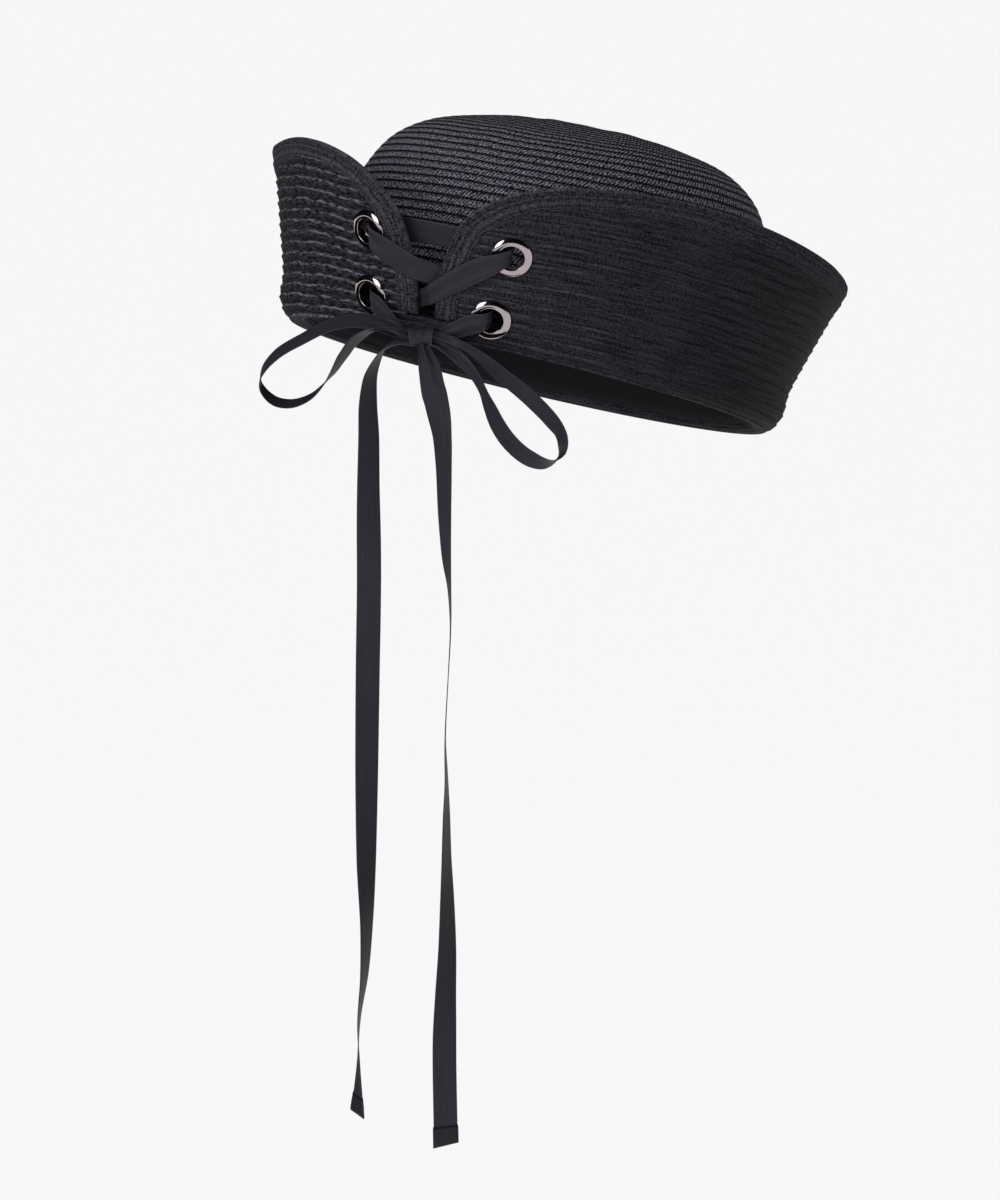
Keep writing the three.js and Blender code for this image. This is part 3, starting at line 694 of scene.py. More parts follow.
def crown_finish(settings):
    """Braid with its free edges down: their undersides and the tucked edges below them are painted in shade.
    """
    braid = plaited_paper("crown_braid", settings.crown_pitch, strand=1.5, slant=1.6, ribbing=0.16,
                          grain=(0.95, 1.05), detail=1.0, dull=0.34, bright=1.05)
    add = braid.add
    # The paper's turns make the edges ragged
    ragged = add("Math", braid.row_share, 0.08, operation="SUBTRACT")
    ragged = add("Math", braid.turns, 0.16, ragged, operation="MULTIPLY_ADD")
    # Painted shade on the tucked edge below the row above and on the free edge's underside
    tucked_edge_shade = add("MapRange", ragged, 0.0, 0.45, 0.02, 1.0)
    underside_shade = add("MapRange", ragged, 0.84, 0.98, 1.0, 0.02)
    # Painted shade: the foot's last rows are painted dark, where they lie behind the brim and show through
    # the laced slit
    foot = add("MapRange", braid.across, 135.0, 142.0, 1.0, 0.12)
    shine = braid.glint
    for shade in (tucked_edge_shade, underside_shade, foot):
        shine = add("Math", shine, shade, operation="MULTIPLY")
    return dyed_braid_with_shine(braid, settings, settings.crown_glint, shine, 0.0001)


def brim_finish(settings):
    """Braid with its free edges up: the edges have painted highlights, most on the left flap where the rows
    gape.
    """
    braid = plaited_paper("brim_braid", settings.row_pitch, strand=1.3, slant=0.4, ribbing=0.07,
                          grain=(0.28, 1.2), detail=1.5, dull=0.34, bright=0.8)
    add = braid.add
    # Painted light is strongest on the left flap away from the slit, and on the right flap it fades towards
    # the far end
    left_end = add("MapRange", braid.along, -150.0, -90.0, 0.0, 1.0)
    slit_end = add("MapRange", braid.along, -12.0, 6.0, 1.0, 0.0)
    gape = add("Math", left_end, slit_end, operation="MULTIPLY")
    right_flap_light = add("MapRange", braid.along, 15.0, 120.0, 0.34, 0.12)
    # Painted highlights on the free edges shine in broken stretches, more on some rows than others, and none
    # where the edges are sewn down at the slit
    free_edge_highlight = add("MapRange", braid.row_share, 0.74, 0.95, 0.0, 1.0)
    free_edge_highlight = add("Math", free_edge_highlight, 2.0, operation="POWER")
    broken = add("MapRange", braid.turns, 0.36, 0.7, 0.1, 1.2)
    slow = add("TexNoise", {"Vector": braid.place, "Scale": 0.12}, noise_dimensions="2D")
    uneven = add("MapRange", slow, 0.35, 0.65, 0.65, 1.2)
    from_slit = add("Math", braid.along, operation="ABSOLUTE")
    sewn_down = add("MapRange", from_slit, 9.0, 14.0, 0.0, 1.0)
    edge = add("Math", gape, 0.44, right_flap_light, operation="MULTIPLY_ADD")
    for share in (uneven, sewn_down, free_edge_highlight, broken):
        edge = add("Math", edge, share, operation="MULTIPLY")
    # Where rows gape, painted light and shade: the hollow behind the next free edge is painted pale as if lit
    # from it, and the middle of a row is painted darkest
    hollow = add("MapRange", braid.row_share, 0.0, 0.4, 1.0, 0.0)
    hollow = add("Math", hollow, 2.0, operation="POWER")
    rising_light = add("MapRange", braid.row_share, 0.35, 0.9, 0.28, 0.56)
    gaping_row = add("Math", hollow, 0.38, rising_light, operation="MULTIPLY_ADD")
    gaping_row = add("Math", braid.glint, gaping_row, operation="MULTIPLY")
    # Flat rows show fine lines of paper that run far along them, their four plaited strands and faint ribs
    drawn = add("VectorMath", braid.place, (0.05, 1.1, 1), operation="MULTIPLY")
    lines = add("TexNoise", {"Vector": drawn, "Scale": 1.0}, noise_dimensions="2D")
    lines = add("Math", lines, 0.6, operation="MULTIPLY")
    grains = add("TexNoise", {"Vector": braid.place, "Scale": 1.1, "Detail": 0.0}, noise_dimensions="2D")
    thread = add("Math", grains, 0.4, lines, operation="MULTIPLY_ADD")
    thread = add("MapRange", thread, 0.34, 0.66, 0.05, 0.3)
    plaits = add("Math", add("Math", braid.row_share, 8 * math.pi, operation="MULTIPLY"), operation="SINE")
    flat_row = add("Math", plaits, 0.035, thread, operation="MULTIPLY_ADD")
    flat_row = add("Math", braid.strands, 0.03, flat_row, operation="MULTIPLY_ADD")
    # Painted shade: the right flap's rows darken towards its far end
    flap = add("Math", right_flap_light, 0.88, 0.72, operation="MULTIPLY_ADD")
    flat_row = add("Math", flat_row, flap, operation="MULTIPLY")
    body = add("Mix", {0: gape, 2: flat_row, 3: gaping_row})
    shine = add("Math", body, edge, operation="ADD")
    return dyed_braid_with_shine(braid, settings, settings.brim_glint, shine, 0.00015)


def edge_finish(settings):
    """Finer braid along the free edge, drawn tight by its stitching: fine ridges run along it."""
    braid = plaited_paper("edge_braid", settings.row_pitch, strand=1.2, slant=0.3, ribbing=0.06,
                          grain=(0.6, 1.2), detail=3.0, dull=0.3, bright=0.88)
    add = braid.add
    # The fine ridges are painted as lines of shade
    ridges = add("Math", add("Math", braid.row_share, 6 * math.pi, operation="MULTIPLY"), operation="SINE")
    shade = add("Math", ridges, 0.24, 0.64, operation="MULTIPLY_ADD")
    # Painted highlight on the free edge
    free_edge_highlight = add("MapRange", braid.row_share, 0.8, 0.92, 0.0, 0.5)
    edge = add("Math", free_edge_highlight, braid.turns, operation="MULTIPLY")
    shine = add("Math", braid.glint, shade, edge, operation="MULTIPLY_ADD")
    return dyed_braid_with_shine(braid, settings, settings.brim_glint, shine, 0.00025)


def charcoal_satin(settings):
    """Polyester satin ribbon, woven with long floats: a soft painted sheen in faint streaks, and painted
    highlights along its selvages.
    """
    made = bpy.data.materials.get("charcoal_satin")
    if made:
        return made
    material, add = new_material("charcoal_satin")
    place = add("UVMap", uv_map="braid")
    along, across, _ = add("SeparateXYZ", place).outputs
    # Floats of uneven yarn run along the ribbon as paler streaks, partly their own tone and partly painted
    # sheen, drawn about half a millimetre wide so that they show
    drawn = add("VectorMath", place, (0.05, 1.8, 1), operation="MULTIPLY")
    floats = add("TexNoise", {"Vector": drawn, "Scale": 1.0, "Detail": 2.0}, noise_dimensions="2D")
    streak = add("MapRange", floats, 0.3, 0.7, 0.0, 0.5)
    # Painted highlight along the selvages
    half = settings.width / 2 * 1000
    from_middle = add("Math", across, operation="ABSOLUTE")
    selvage_highlight = add("MapRange", from_middle, half - 0.7, half - 0.2, 0.0, 0.6)
    sheen_and_highlight = add("Math", streak, selvage_highlight, operation="ADD")
    paint = add("Mix", {0: sheen_and_highlight, 6: (*settings.ground_colour, 1), 7: (*settings.float_and_highlight_colour, 1)},
                data_type="RGBA")
    # A hem is painted darker, partly its dull doubled cloth and partly painted shade, with a painted shadow
    # line along its folded edge
    hem_edge = settings.hem_length * 1000
    to_end = add("Math", HEM_END, along, operation="SUBTRACT")
    hem = add("MapRange", to_end, hem_edge + 0.1, hem_edge - 0.3, 0.0, 0.3)
    hem = add("Math", hem, add("Math", to_end, -1.0, operation="GREATER_THAN"), operation="MULTIPLY")
    from_line = add("Math", add("Math", to_end, hem_edge - 0.6, operation="SUBTRACT"), operation="ABSOLUTE")
    fold_shadow_line = add("MapRange", from_line, 0.3, 0.7, 0.55, 0.0)
    hem_shade = add("Math", hem, fold_shadow_line, operation="ADD")
    paint = add("Mix", {0: hem_shade, 6: paint.outputs[2], 7: linear("#060607")}, data_type="RGBA")
    # Weft ribs, drawn 1.2 mm apart so that they show
    ribs = add("TexWave", {"Vector": place, "Scale": 0.26, "Distortion": 1.5, "Detail": 2.0},
               bands_direction="X")
    relief = add("Bump", {"Strength": 0.12, "Distance": 0.00008, "Height": ribs.outputs[1]})
    shader = add("BsdfPrincipled", {
        "Base Color": paint.outputs[2], "Roughness": 0.5, "IOR": 1.26, "Normal": relief})
    add("OutputMaterial", {"Surface": shader})
    return material


def polished_gunmetal():
    """Eyelet of brass plated with polished black nickel: a dark mirror with sharp, bright reflections."""
    material, add = new_material("polished_gunmetal")
    shader = add("BsdfPrincipled", {"Base Color": linear("#afa4a7"), "Metallic": 1.0, "Roughness": 0.1})
    add("OutputMaterial", {"Surface": shader})
    return material


def grosgrain_tape():
    """Black cotton grosgrain tape: matte and even, with fine ribs across it."""
    material, add = new_material("grosgrain_tape")
    place = add("UVMap", uv_map="braid")
    # Ribs of the tape, drawn 1.8 mm apart so that they show
    ribs = add("TexWave", {"Vector": place, "Scale": 0.17, "Distortion": 0.6}, bands_direction="X")
    relief = add("Bump", {"Strength": 0.3, "Distance": 0.0001, "Height": ribs.outputs[1]})
    shader = add("BsdfPrincipled", {
        "Base Color": linear("#1a1a1f"), "Roughness": 0.85, "IOR": 1.2, "Normal": relief})
    add("OutputMaterial", {"Surface": shader})
    return material


def oval_point(radius, turn, height):
    """Point at a mean radius on the crown's oval, which is as long for its width as the fold."""
    turn = np.radians(turn)
    return np.stack(np.broadcast_arrays(
        radius * np.sin(turn) * FOLD_HALF_WIDTH / MEAN_RADIUS,
        -radius * np.cos(turn) * FOLD_HALF_LENGTH / MEAN_RADIUS,
        height,
    ), axis=-1)


def crown_grid(braid):
    """Crown of one braid sewn in a spiral from the middle of its top.

    The oval profile is read by its run length from the top. A row number counts pitches of run length, and
    a line of one row number sinks by one pitch in each turn. The outer face rises with the row's lapped
    profile, whose free edge faces down, and the inner face lies a wall's thickness inside. The top is tipped,
    and its shoulder sags in a bell round the hat."""
    pitch = braid.crown_pitch
    profile = through(CROWN_PROFILE, samples=24)[::-1]
    run = run_length(profile)
    numbers = (np.arange(np.ceil(run[-1] / pitch) + 1)[:, None] + CROWN_ROW[:, 0]).ravel()
    turn = np.linspace(0, 360, CROWN_COLUMNS, endpoint=False)
    outer = np.clip((numbers[:, None] - turn / 360) * pitch, 0, run[-1])
    inner = np.repeat(np.linspace(run[-1], 0, CROWN_LINING_ROWS)[:, None], CROWN_COLUMNS, axis=1)
    distance = np.vstack([outer, inner])
    radius, height = (np.interp(distance, run, column) for column in profile.T)
    slope = np.gradient(profile, run, axis=0)
    out_share, up_share = (np.interp(distance, run, column) for column in (-slope[:, 1], slope[:, 0]))
    place = np.radians(turn) * MEAN_RADIUS + 0 * distance
    stray = waves(place, distance, seed=3, lengths=(0.045, 0.08, 0.13)) * smooth_step(radius, 0.004, 0.03)
    rise = (row_profile(CROWN_ROW, numbers)[:, None] - 0.5) * smooth_step(outer, 0, pitch / 2)
    rise = rise * braid.row_relief * CROWN_RELIEF_SHARE
    offset = np.vstack([rise, np.full(inner.shape, -BRAID_WALL)]) + stray * braid.wall_wave
    radius = np.maximum(radius + out_share * offset * (radius > 0), 0)
    points = oval_point(radius, turn, height + up_share * offset)
    towards = math.radians(CROWN_TIP_TOWARDS)
    reach = points[..., 0] * math.cos(towards) + points[..., 1] * math.sin(towards)
    tipped = smooth_step(points[..., 2], CROWN_PROFILE[1, 1], CROWN_PROFILE[-1, 1])
    points[..., 2] += reach * math.tan(math.radians(CROWN_TOP_TIP)) * tipped
    sunk = np.exp(-(((turned(turn) - SHOULDER_SAG_AT) / SHOULDER_SAG_SPREAD) ** 2))
    shoulder = smooth_step(radius, 0.03, 0.06) * smooth_step(points[..., 2], 0.055, 0.078)
    points[..., 2] -= SHOULDER_SAG * sunk * shoulder
    # After one turn the spiral goes on from its first column, one row further in
    index = grid_index(*distance.shape, wrap_columns=True)
    in_row, spiral = len(CROWN_ROW), len(numbers)
    index[in_row:spiral, -1] = index[:spiral - in_row, 0]
    index[:in_row, -1] = index[0, 0]
    levels = np.append(numbers, inner[:, 0] / pitch)
    face_radius = np.interp((np.floor(levels[:-1]) + 0.5) * pitch, run, profile[:, 0])
    pattern = ruled_map(np.radians(np.append(turn, 360)), levels[:, None] * pitch)
    pattern[..., 0] *= face_radius[:, None, None]
    return points, index, pattern


def brim_shell(angle, level, lift):
    """Point on the brim's shell: level runs down the slanted face, round the fold and up the lip inside.

    Above the fold's start the face leans by the flare. Below it the section is an arc about the fold's
    middle, and past the arc's end it goes straight up the lip. The lift is measured outwards throughout."""
    lean, start = fold_start(angle)
    lip_lean = math.radians(LIP_LEAN)
    middle = start * np.sin(lean) - FOLD_RADIUS * np.cos(lean)
    swing = np.clip((level - start) / FOLD_RADIUS - lean, lip_lean - math.pi, -lean)
    rise = np.maximum(0, start - FOLD_RADIUS * (math.pi - lip_lean - lean) - level)
    size = FOLD_RADIUS + lift
    roll = roll_at(angle, start) * np.maximum(0, np.cos(swing)) / np.cos(lean)
    out = middle + size * np.cos(swing) + roll - rise * math.sin(lip_lean)
    under = fold_plane_point(angle, out, FOLD_RADIUS + size * np.sin(swing) + rise * math.cos(lip_lean))
    return np.where((level < start)[..., None], under, brim_point(angle, np.maximum(level, start), lift))


def brim_grid(braid):
    """Brim as a closed section carried round the fold: its points, their levels and their places along it.

    The section runs down the outer side of the shell to the top of the lip inside and back up its inner
    side. Its levels are those of the row places, cut off under the edge braid. The outer side rises with
    the lapped profile, whose free edge faces up. Rows stray on slow waves and dip towards the slit."""
    pitch = braid.row_pitch
    near = np.arange(-BRIM_FINE_ANGLE, BRIM_FINE_ANGLE, BRIM_FINE_STEP)
    far = np.linspace(BRIM_FINE_ANGLE, 360 - BRIM_FINE_ANGLE, BRIM_FAR_COLUMNS, endpoint=False)
    around = np.concatenate([near, far]) % 360
    angle = turned(around)
    border = edge_line(EDGE_BRAID_WIDTH * EDGE_OVERLAP_SHARE)
    cut = np.maximum(np.interp(around, border[:, 0], border[:, 1]), SLIT_FLOOR)
    cut = np.where(np.abs(angle) < border[0, 0], SLIT_FLOOR, cut)
    lean, start = fold_start(angle)
    floor = start - FOLD_RADIUS * (math.pi - math.radians(LIP_LEAN) - lean) - LIP_HEIGHT
    place = np.radians(angle) * MEAN_RADIUS
    gaping = smooth_step(-angle, 0, 12) * smooth_step(angle, -140, -100)
    wave = braid.row_wave * (0.4 + 1.6 * gaping * smooth_step(angle, -90, -50))
    dip = braid.slit_dip * np.exp(-((angle / 24) ** 2))

    def stray(level):
        """How far a row strays up at a level: long and short waves, and the dip at the slit."""
        slow = 0.7 * waves(place, level, seed=5, lengths=(0.021, 0.034, 0.055))
        slow = slow + 0.28 * waves(place, level, seed=6, lengths=(0.0065, 0.0091))
        return wave * slow * smooth_step(level, 0, 0.006) - dip * smooth_step(level, 0, 0.012)

    def side(levels, lift, relief):
        """One side of the shell at the levels of unstrayed rows, and the level of each point's own row."""
        strayed = levels[:, None] + stray(levels[:, None])
        level = np.clip(strayed, floor, cut)
        row = np.where(level == strayed, levels[:, None], level - stray(level))
        bulge = waves(place, level, seed=8, lengths=(0.05, 0.09)) * smooth_step(level, 0.002, 0.01)
        lift = lift + relief * (row_profile(BRIM_ROW, row / pitch) - 0.5) + braid.wall_wave * bulge
        return brim_shell(angle[None, :], level, lift), row

    top = int(np.ceil((FLAP_EDGE[:, 1].max() + braid.slit_dip) / pitch)) + 1
    rows = np.arange(-ROWS_BELOW_FACE, top)[:, None]
    relief = braid.row_relief * (1 + 0.6 * gaping)
    outer, outer_row = side(((rows + BRIM_ROW[:, 0]) * pitch).ravel()[::-1], 0, relief)
    inner, inner_row = side(((rows + BRIM_ROW[[0, 3], 0]) * pitch).ravel(), -BRAID_WALL, 0)
    return np.vstack([outer, inner]), np.vstack([outer_row, inner_row]), place


def ribbon_sections(centre, side, width, thickness, full_width, ends, softness):
    """Closed ribbon: a flat section carried along a path.

    Where the ribbon is gathered to less than its full width, the section takes up the rest in soft folds, a
    cosine whose height keeps the cloth's width. The selvages are a little thicker, and the ends are closed
    and run on by ends from one selvage to the other."""
    along = unit(np.gradient(centre, axis=0))
    across = unit(side - along * np.sum(side * along, axis=1, keepdims=True))
    face = np.cross(along, across)
    share = np.linspace(-0.5, 0.5, RIBBON_POINTS)
    folds = 1.5
    spare = np.sqrt(np.maximum(full_width / width - 1, 0))
    depth = np.minimum(width / (math.pi * folds) * spare, RIBBON_FOLD_DEPTH) * softness
    lift = depth[:, None] * np.cos(2 * math.pi * folds * share + 0.4) * (1 - (2 * share) ** 6)
    half = thickness[:, None] / 2 * (1 + 0.4 * smooth_step(np.abs(share), 0.44, 0.48))
    half = half * np.where((share == share[0]) | (share == share[-1]), 0.3, 1)
    half[[0, -1]] = 0
    flat = centre[:, None] + across[:, None] * (width[:, None] * share)[..., None]
    flat = flat + along[:, None] * (ends[:, None] * share)[..., None]
    top = flat + face[:, None] * (lift + half)[..., None]
    bottom = flat + face[:, None] * (lift - half)[..., None]
    return np.concatenate([top, bottom[:, ::-1]], axis=1), share


def ribbon_piece(name, centre, side, width, settings, node, hem=False, slant=0.0, softness=1.0):
    """One stretch of the satin ribbon, sampled evenly by its run length, and its centre line.

    A hem is thicker and a little wider from its start on, with a groove where it is stitched down."""
    run = run_length(centre)
    steps = np.linspace(0, run[-1], int(run[-1] / settings.step))
    centre, side = columns_at(steps, run, centre), columns_at(steps, run, side)
    width = np.interp(steps, run, width)
    to_end = run[-1] - steps
    thick = np.full(len(steps), settings.thickness)
    places = steps
    if hem:
        places = HEM_END * MM - to_end
        hemmed = smooth_step(-to_end, -settings.hem_length, -settings.hem_length + HEM_STEP)
        stitched = np.exp(-(((to_end - settings.hem_length + HEM_STITCH_INSET) / HEM_STITCH_WIDTH) ** 2))
        thick = thick + (settings.hem_thickness - settings.thickness) * hemmed
        thick = thick * (1 - 0.45 * stitched)
        width = width * (1 + 0.07 * hemmed)
    ends = slant * smooth_step(-to_end, -0.012, 0)
    sections, share = ribbon_sections(centre, side, width, thick, settings.width, ends, softness)
    index = grid_index(*sections.shape[:2], wrap_columns=True)
    across = np.concatenate([share, share[::-1], share[:1]]) * settings.width
    pattern = ruled_map(places[:, None], across)
    return surface(name, sections, index, pattern, charcoal_satin(settings), node), centre


def tucked(points, first, last):
    """A path with its ends run on straight by first and last, to where another piece hides them."""
    start = points[0] + unit(points[0] - points[1]) * first
    end = points[-1] + unit(points[-1] - points[-2]) * last
    return np.vstack([start, points, end])


def bow_path(rows, first, last):
    """Centre, side direction and width of a ribbon of the bow, in the part's frame.

    At no turn the width lies in the bow's plane, square to the path. A turn swings it out of the plane."""
    route = through(np.stack([rows[:, 0], -rows[:, 1], -rows[:, 2]], axis=1), samples=20)
    lay = through(rows[:, 3:] * (1, 1000), samples=20)
    along = unit(np.gradient(route, axis=0))
    turn = np.radians(lay[:, :1])
    in_plane = unit(np.stack([-along[:, 2], 0 * along[:, 0], along[:, 0]], axis=1))
    side = in_plane * np.cos(turn) + np.array([0, -1, 0]) * np.sin(turn)
    ends = [0, *range(len(route)), len(route) - 1]
    return bow_to_part(tucked(route, first, last)), (side @ BOW_TURN.T)[ends], lay[ends, 1] / 1000


class HAT_OT_crown(bpy.types.Operator):
    """Make the crown of spiral-sewn braid"""

    bl_idname = "hat.crown"
    bl_label = "Crown"

    def execute(self, context):
        braid = context.scene.hat_braid
        points, index, pattern = crown_grid(braid)
        surface("crown_braid", hat_to_part(points), index, pattern, crown_finish(braid), "crown")
        return {"FINISHED"}


class HAT_OT_brim(bpy.types.Operator):
    """Make the turned-up brim of braid rows, with its eyelet holes"""

    bl_idname = "hat.brim"
    bl_label = "Brim"

    def execute(self, context):
        braid = context.scene.hat_braid
        section, row, place = brim_grid(braid)
        index = grid_index(*section.shape[:2], wrap_rows=True, wrap_columns=True)
        # The map runs on by one column where the place along the brim jumps, opposite the slit
        place = np.append(place, place[0])
        ends = np.where(np.abs(np.diff(place)) > 0.1, place[:-1] + place[1] - place[0], place[1:])
        pattern = ruled_map(place, np.pad(row, ((0, 1), (0, 1)), mode="wrap"))
        pattern[..., 2:, 0] = ends[:, None] * 1000
        middles = corner_values(np.pad(section, ((0, 1), (0, 1), (0, 0)), mode="wrap")).mean(axis=2)
        keep = np.ones(middles.shape[:2], dtype=bool)
        for _, angle, height in EYELETS:
            hole = brim_point(angle, height, -BRAID_WALL / 2)
            keep &= np.linalg.norm(middles - hole, axis=-1) > EYELET_HOLE
        surface("brim_braid", hat_to_part(section), index, pattern, brim_finish(braid), "brim", keep)
        return {"FINISHED"}


class HAT_OT_edge_braid(bpy.types.Operator):
    """Make the two braid rows along the brim's free edge"""

    bl_idname = "hat.edge_braid"
    bl_label = "Edge Braid"

    def execute(self, context):
        """Section of two lapped rows, rounded at the free edge and thinner behind, carried along the edge."""
        braid = context.scene.hat_braid
        inner_row = EDGE_ROW_SHARE + (1 - EDGE_ROW_SHARE) * (1 - BRIM_ROW[:, 0])
        outer_row = EDGE_ROW_SHARE * (1 - BRIM_ROW[:, 0])
        share = np.concatenate([inner_row, outer_row[:-1], np.linspace(0.1, 0, 8) ** 2 / 0.1])
        rows = np.interp(share, (0, EDGE_ROW_SHARE, 1), (EDGE_ROW_END, 1, 0))
        rise = row_profile(BRIM_ROW, rows) * EDGE_RELIEF
        round_edge = np.sqrt(np.clip(1 - (1 - share / EDGE_ROUND_SHARE).clip(0) ** 2, 0, 1))
        face = -BRAID_WALL / 2 + (BRAID_WALL / 2 + EDGE_STAND_OFF + rise) * round_edge
        back = -BRAID_WALL / 2 - (BRAID_WALL / 2 + EDGE_STAND_OFF + rise * 0.6) * round_edge
        inset = np.concatenate([share, share[::-1]]) * EDGE_BRAID_WIDTH
        lift = np.concatenate([face, back[::-1]])
        lines = np.stack([edge_line(step) for step in inset])
        run = run_length(brim_point(turned(lines[0, :, 0]), lines[0, :, 1], 0))
        steps = np.linspace(0, run[-1], EDGE_COLUMNS)
        lines = np.stack([columns_at(steps, run, line) for line in lines])
        stray = waves(steps, inset[:, None], seed=11, lengths=(0.016, 0.031, 0.06)) * braid.row_wave / 2
        points = brim_point(turned(lines[..., 0]), lines[..., 1], lift[:, None] + stray)
        # The two ends at the foot of the slit are closed
        points[:, [0, -1]] = (points[:, [0, -1]] + points[::-1, [0, -1]]) / 2
        index = grid_index(*points.shape[:2], wrap_rows=True)
        across = np.concatenate([rows, rows[::-1], rows[:1]]) * braid.row_pitch
        surface("edge_braid_rows", hat_to_part(points), index, ruled_map(steps, across[:, None]),
                edge_finish(braid), "edge_braid")
        return {"FINISHED"}


class HAT_OT_sweatband(bpy.types.Operator):
    """Make the tape inside the head opening"""

    bl_idname = "hat.sweatband"
    bl_label = "Sweatband"

    def execute(self, context):
        """Flat section with thin edges, a little inside the crown's wall, carried round the oval."""
        foot, top, thickness, hem = 0.003, 0.034, 0.001, 0.002
        (foot_radius, foot_height), (next_radius, next_height) = CROWN_PROFILE[:2]
        slope = (foot_radius - next_radius) / (next_height - foot_height)
        heights = np.linspace(foot, top, 12)
        wall = foot_radius - (heights - foot_height) * slope - BRAID_WALL
        outside = wall - np.interp(heights, (foot, top), (0.0013, 0.0006))
        full = np.interp(heights, (foot, foot + hem, top - hem, top), (0.6, 1, 1, 0.6))
        radius = np.concatenate([outside, (outside - thickness * full)[::-1]])
        height = np.concatenate([heights, heights[::-1]])[:, None]
        turn = np.linspace(0, 360, 240, endpoint=False)
        place = np.radians(turn) * MEAN_RADIUS
        ripple = waves(place, height, seed=21, lengths=(0.04, 0.07)) * 0.0002
        points = oval_point(radius[:, None] + ripple, turn, height)
        index = grid_index(*points.shape[:2], wrap_rows=True, wrap_columns=True)
        pattern = ruled_map(np.append(place, 2 * math.pi * MEAN_RADIUS), np.vstack([height, height[:1]]))
        surface("sweatband_tape", hat_to_part(points), index, pattern, grosgrain_tape(),
                "sweatband")
        return {"FINISHED"}


class HAT_OT_eyelets(bpy.types.Operator):
    """Make the four eyelets"""

    bl_idname = "hat.eyelets"
    bl_label = "Eyelets"

    def execute(self, context):
        """Section of arcs and the plain back, turned about a line straight out of the brim."""
        arcs = []
        for radius, lift, size, first, last, steps in EYELET_ARCS:
            swing = np.radians(np.linspace(first, last, steps))
            arcs.append(np.stack([radius + size * np.cos(swing), lift + size * np.sin(swing)], axis=1))
        profile = np.vstack([*arcs, EYELET_BACK]) * MM
        metal = polished_gunmetal()
        turn = np.radians(np.linspace(0, 360, 96, endpoint=False))[:, None]
        for node, angle, height in EYELETS:
            up_face, out = brim_directions(angle, height)
            spoke = np.cos(turn) * up_face + np.sin(turn) * np.cross(up_face, out)
            points = brim_point(angle, height, 0) + profile[:, None, :1] * spoke + profile[:, None, 1:] * out
            index = grid_index(*points.shape[:2], wrap_rows=True, wrap_columns=True)
            pattern = corner_values(np.zeros((*index.shape, 2)))
            surface(f"{node}_ring", hat_to_part(points), index, pattern, metal, node)
        return {"FINISHED"}


class HAT_OT_lace(bpy.types.Operator):
    """Make the ribbon laced through the eyelets"""

    bl_idname = "hat.lace"
    bl_label = "Lace"

    def execute(self, context):
        route = through(brim_point(LACE_ROUTE[:, 0], LACE_ROUTE[:, 1], LACE_ROUTE[:, 2]), samples=20)
        lay = through(LACE_ROUTE[:, [0, 1, 3]] * (1, 1000, 1000), samples=20)
        up_face, _ = brim_directions(lay[:, 0], lay[:, 1] / 1000)
        ends = [0, *range(len(route)), len(route) - 1]
        centre = hat_to_part(tucked(route, LACE_TUCK, LACE_TUCK))
        ribbon_piece("lace_ribbon", centre, hat_to_part(up_face)[ends], lay[ends, 2] / 1000,
                     context.scene.hat_ribbon, "lace", softness=0.3)
        return {"FINISHED"}


class HAT_OT_bow(bpy.types.Operator):
    """Make the bow: its knot and its two loops"""

    bl_idname = "hat.bow"
    bl_label = "Bow"

    def execute(self, context):
        settings = context.scene.hat_ribbon
        self.knot(settings)
        for name, rows in (("bow_loop_left", LEFT_LOOP), ("bow_loop_right", RIGHT_LOOP)):
            path = bow_path(rows, LOOP_TUCK, LOOP_TUCK)
            piece, centre = ribbon_piece(f"{name}_ribbon", *path, settings, name)
        return {"FINISHED"}

    def knot(self, settings):
        """Band wound round the bow's middle: a rounded box section, wider at its edges, with soft gathers."""
        share = np.linspace(-1, 1, 41)[:, None]
        swing = np.radians(np.linspace(0, 360, 72, endpoint=False))
        flare = 1 + 0.08 * share**2
        gathers = 0.0001 * np.cos(share * 9 + 0.8 * np.sin(swing)) * (1 - share**6)
        power = 2 / 2.25
        out = np.sign(np.cos(swing)) * np.abs(np.cos(swing)) ** power
        down = np.sign(np.sin(swing)) * np.abs(np.sin(swing)) ** power
        right = share * KNOT_HALF_WIDTH * (1 - 0.08 * down)

        def shell(inset):
            """One side of the band, its radius made smaller by inset."""
            size = flare + (gathers - inset) / KNOT_RADIUS
            return np.stack(np.broadcast_arrays(
                right, -KNOT_HALF_DEPTH * out * size, KNOT_RISE - KNOT_HALF_HEIGHT * down * size), axis=-1)

        points = np.concatenate([shell(0), shell(settings.thickness * 2)[::-1]])
        index = grid_index(*points.shape[:2], wrap_rows=True, wrap_columns=True)
        width = np.vstack([share, share[::-1], share[:1]]) * settings.width / 2
        pattern = ruled_map(np.append(swing, 2 * math.pi) * KNOT_RADIUS, width)
        satin = charcoal_satin(settings)
        surface("bow_knot_band", bow_to_part(points), index, pattern, satin, "bow_knot")


class HAT_OT_tails(bpy.types.Operator):
    """Make the two hanging ribbon tails"""

    bl_idname = "hat.tails"
    bl_label = "Tails"

    def execute(self, context):
        settings = context.scene.hat_ribbon
        tails = (("ribbon_tail_left", LEFT_TAIL, -0.0014), ("ribbon_tail_right", RIGHT_TAIL, 0.0022))
        for name, rows, slant in tails:
            path = bow_path(rows, TAIL_TUCK, 0)
            piece, centre = ribbon_piece(f"{name}_ribbon", *path, settings, name, hem=True, slant=slant)
        return {"FINISHED"}


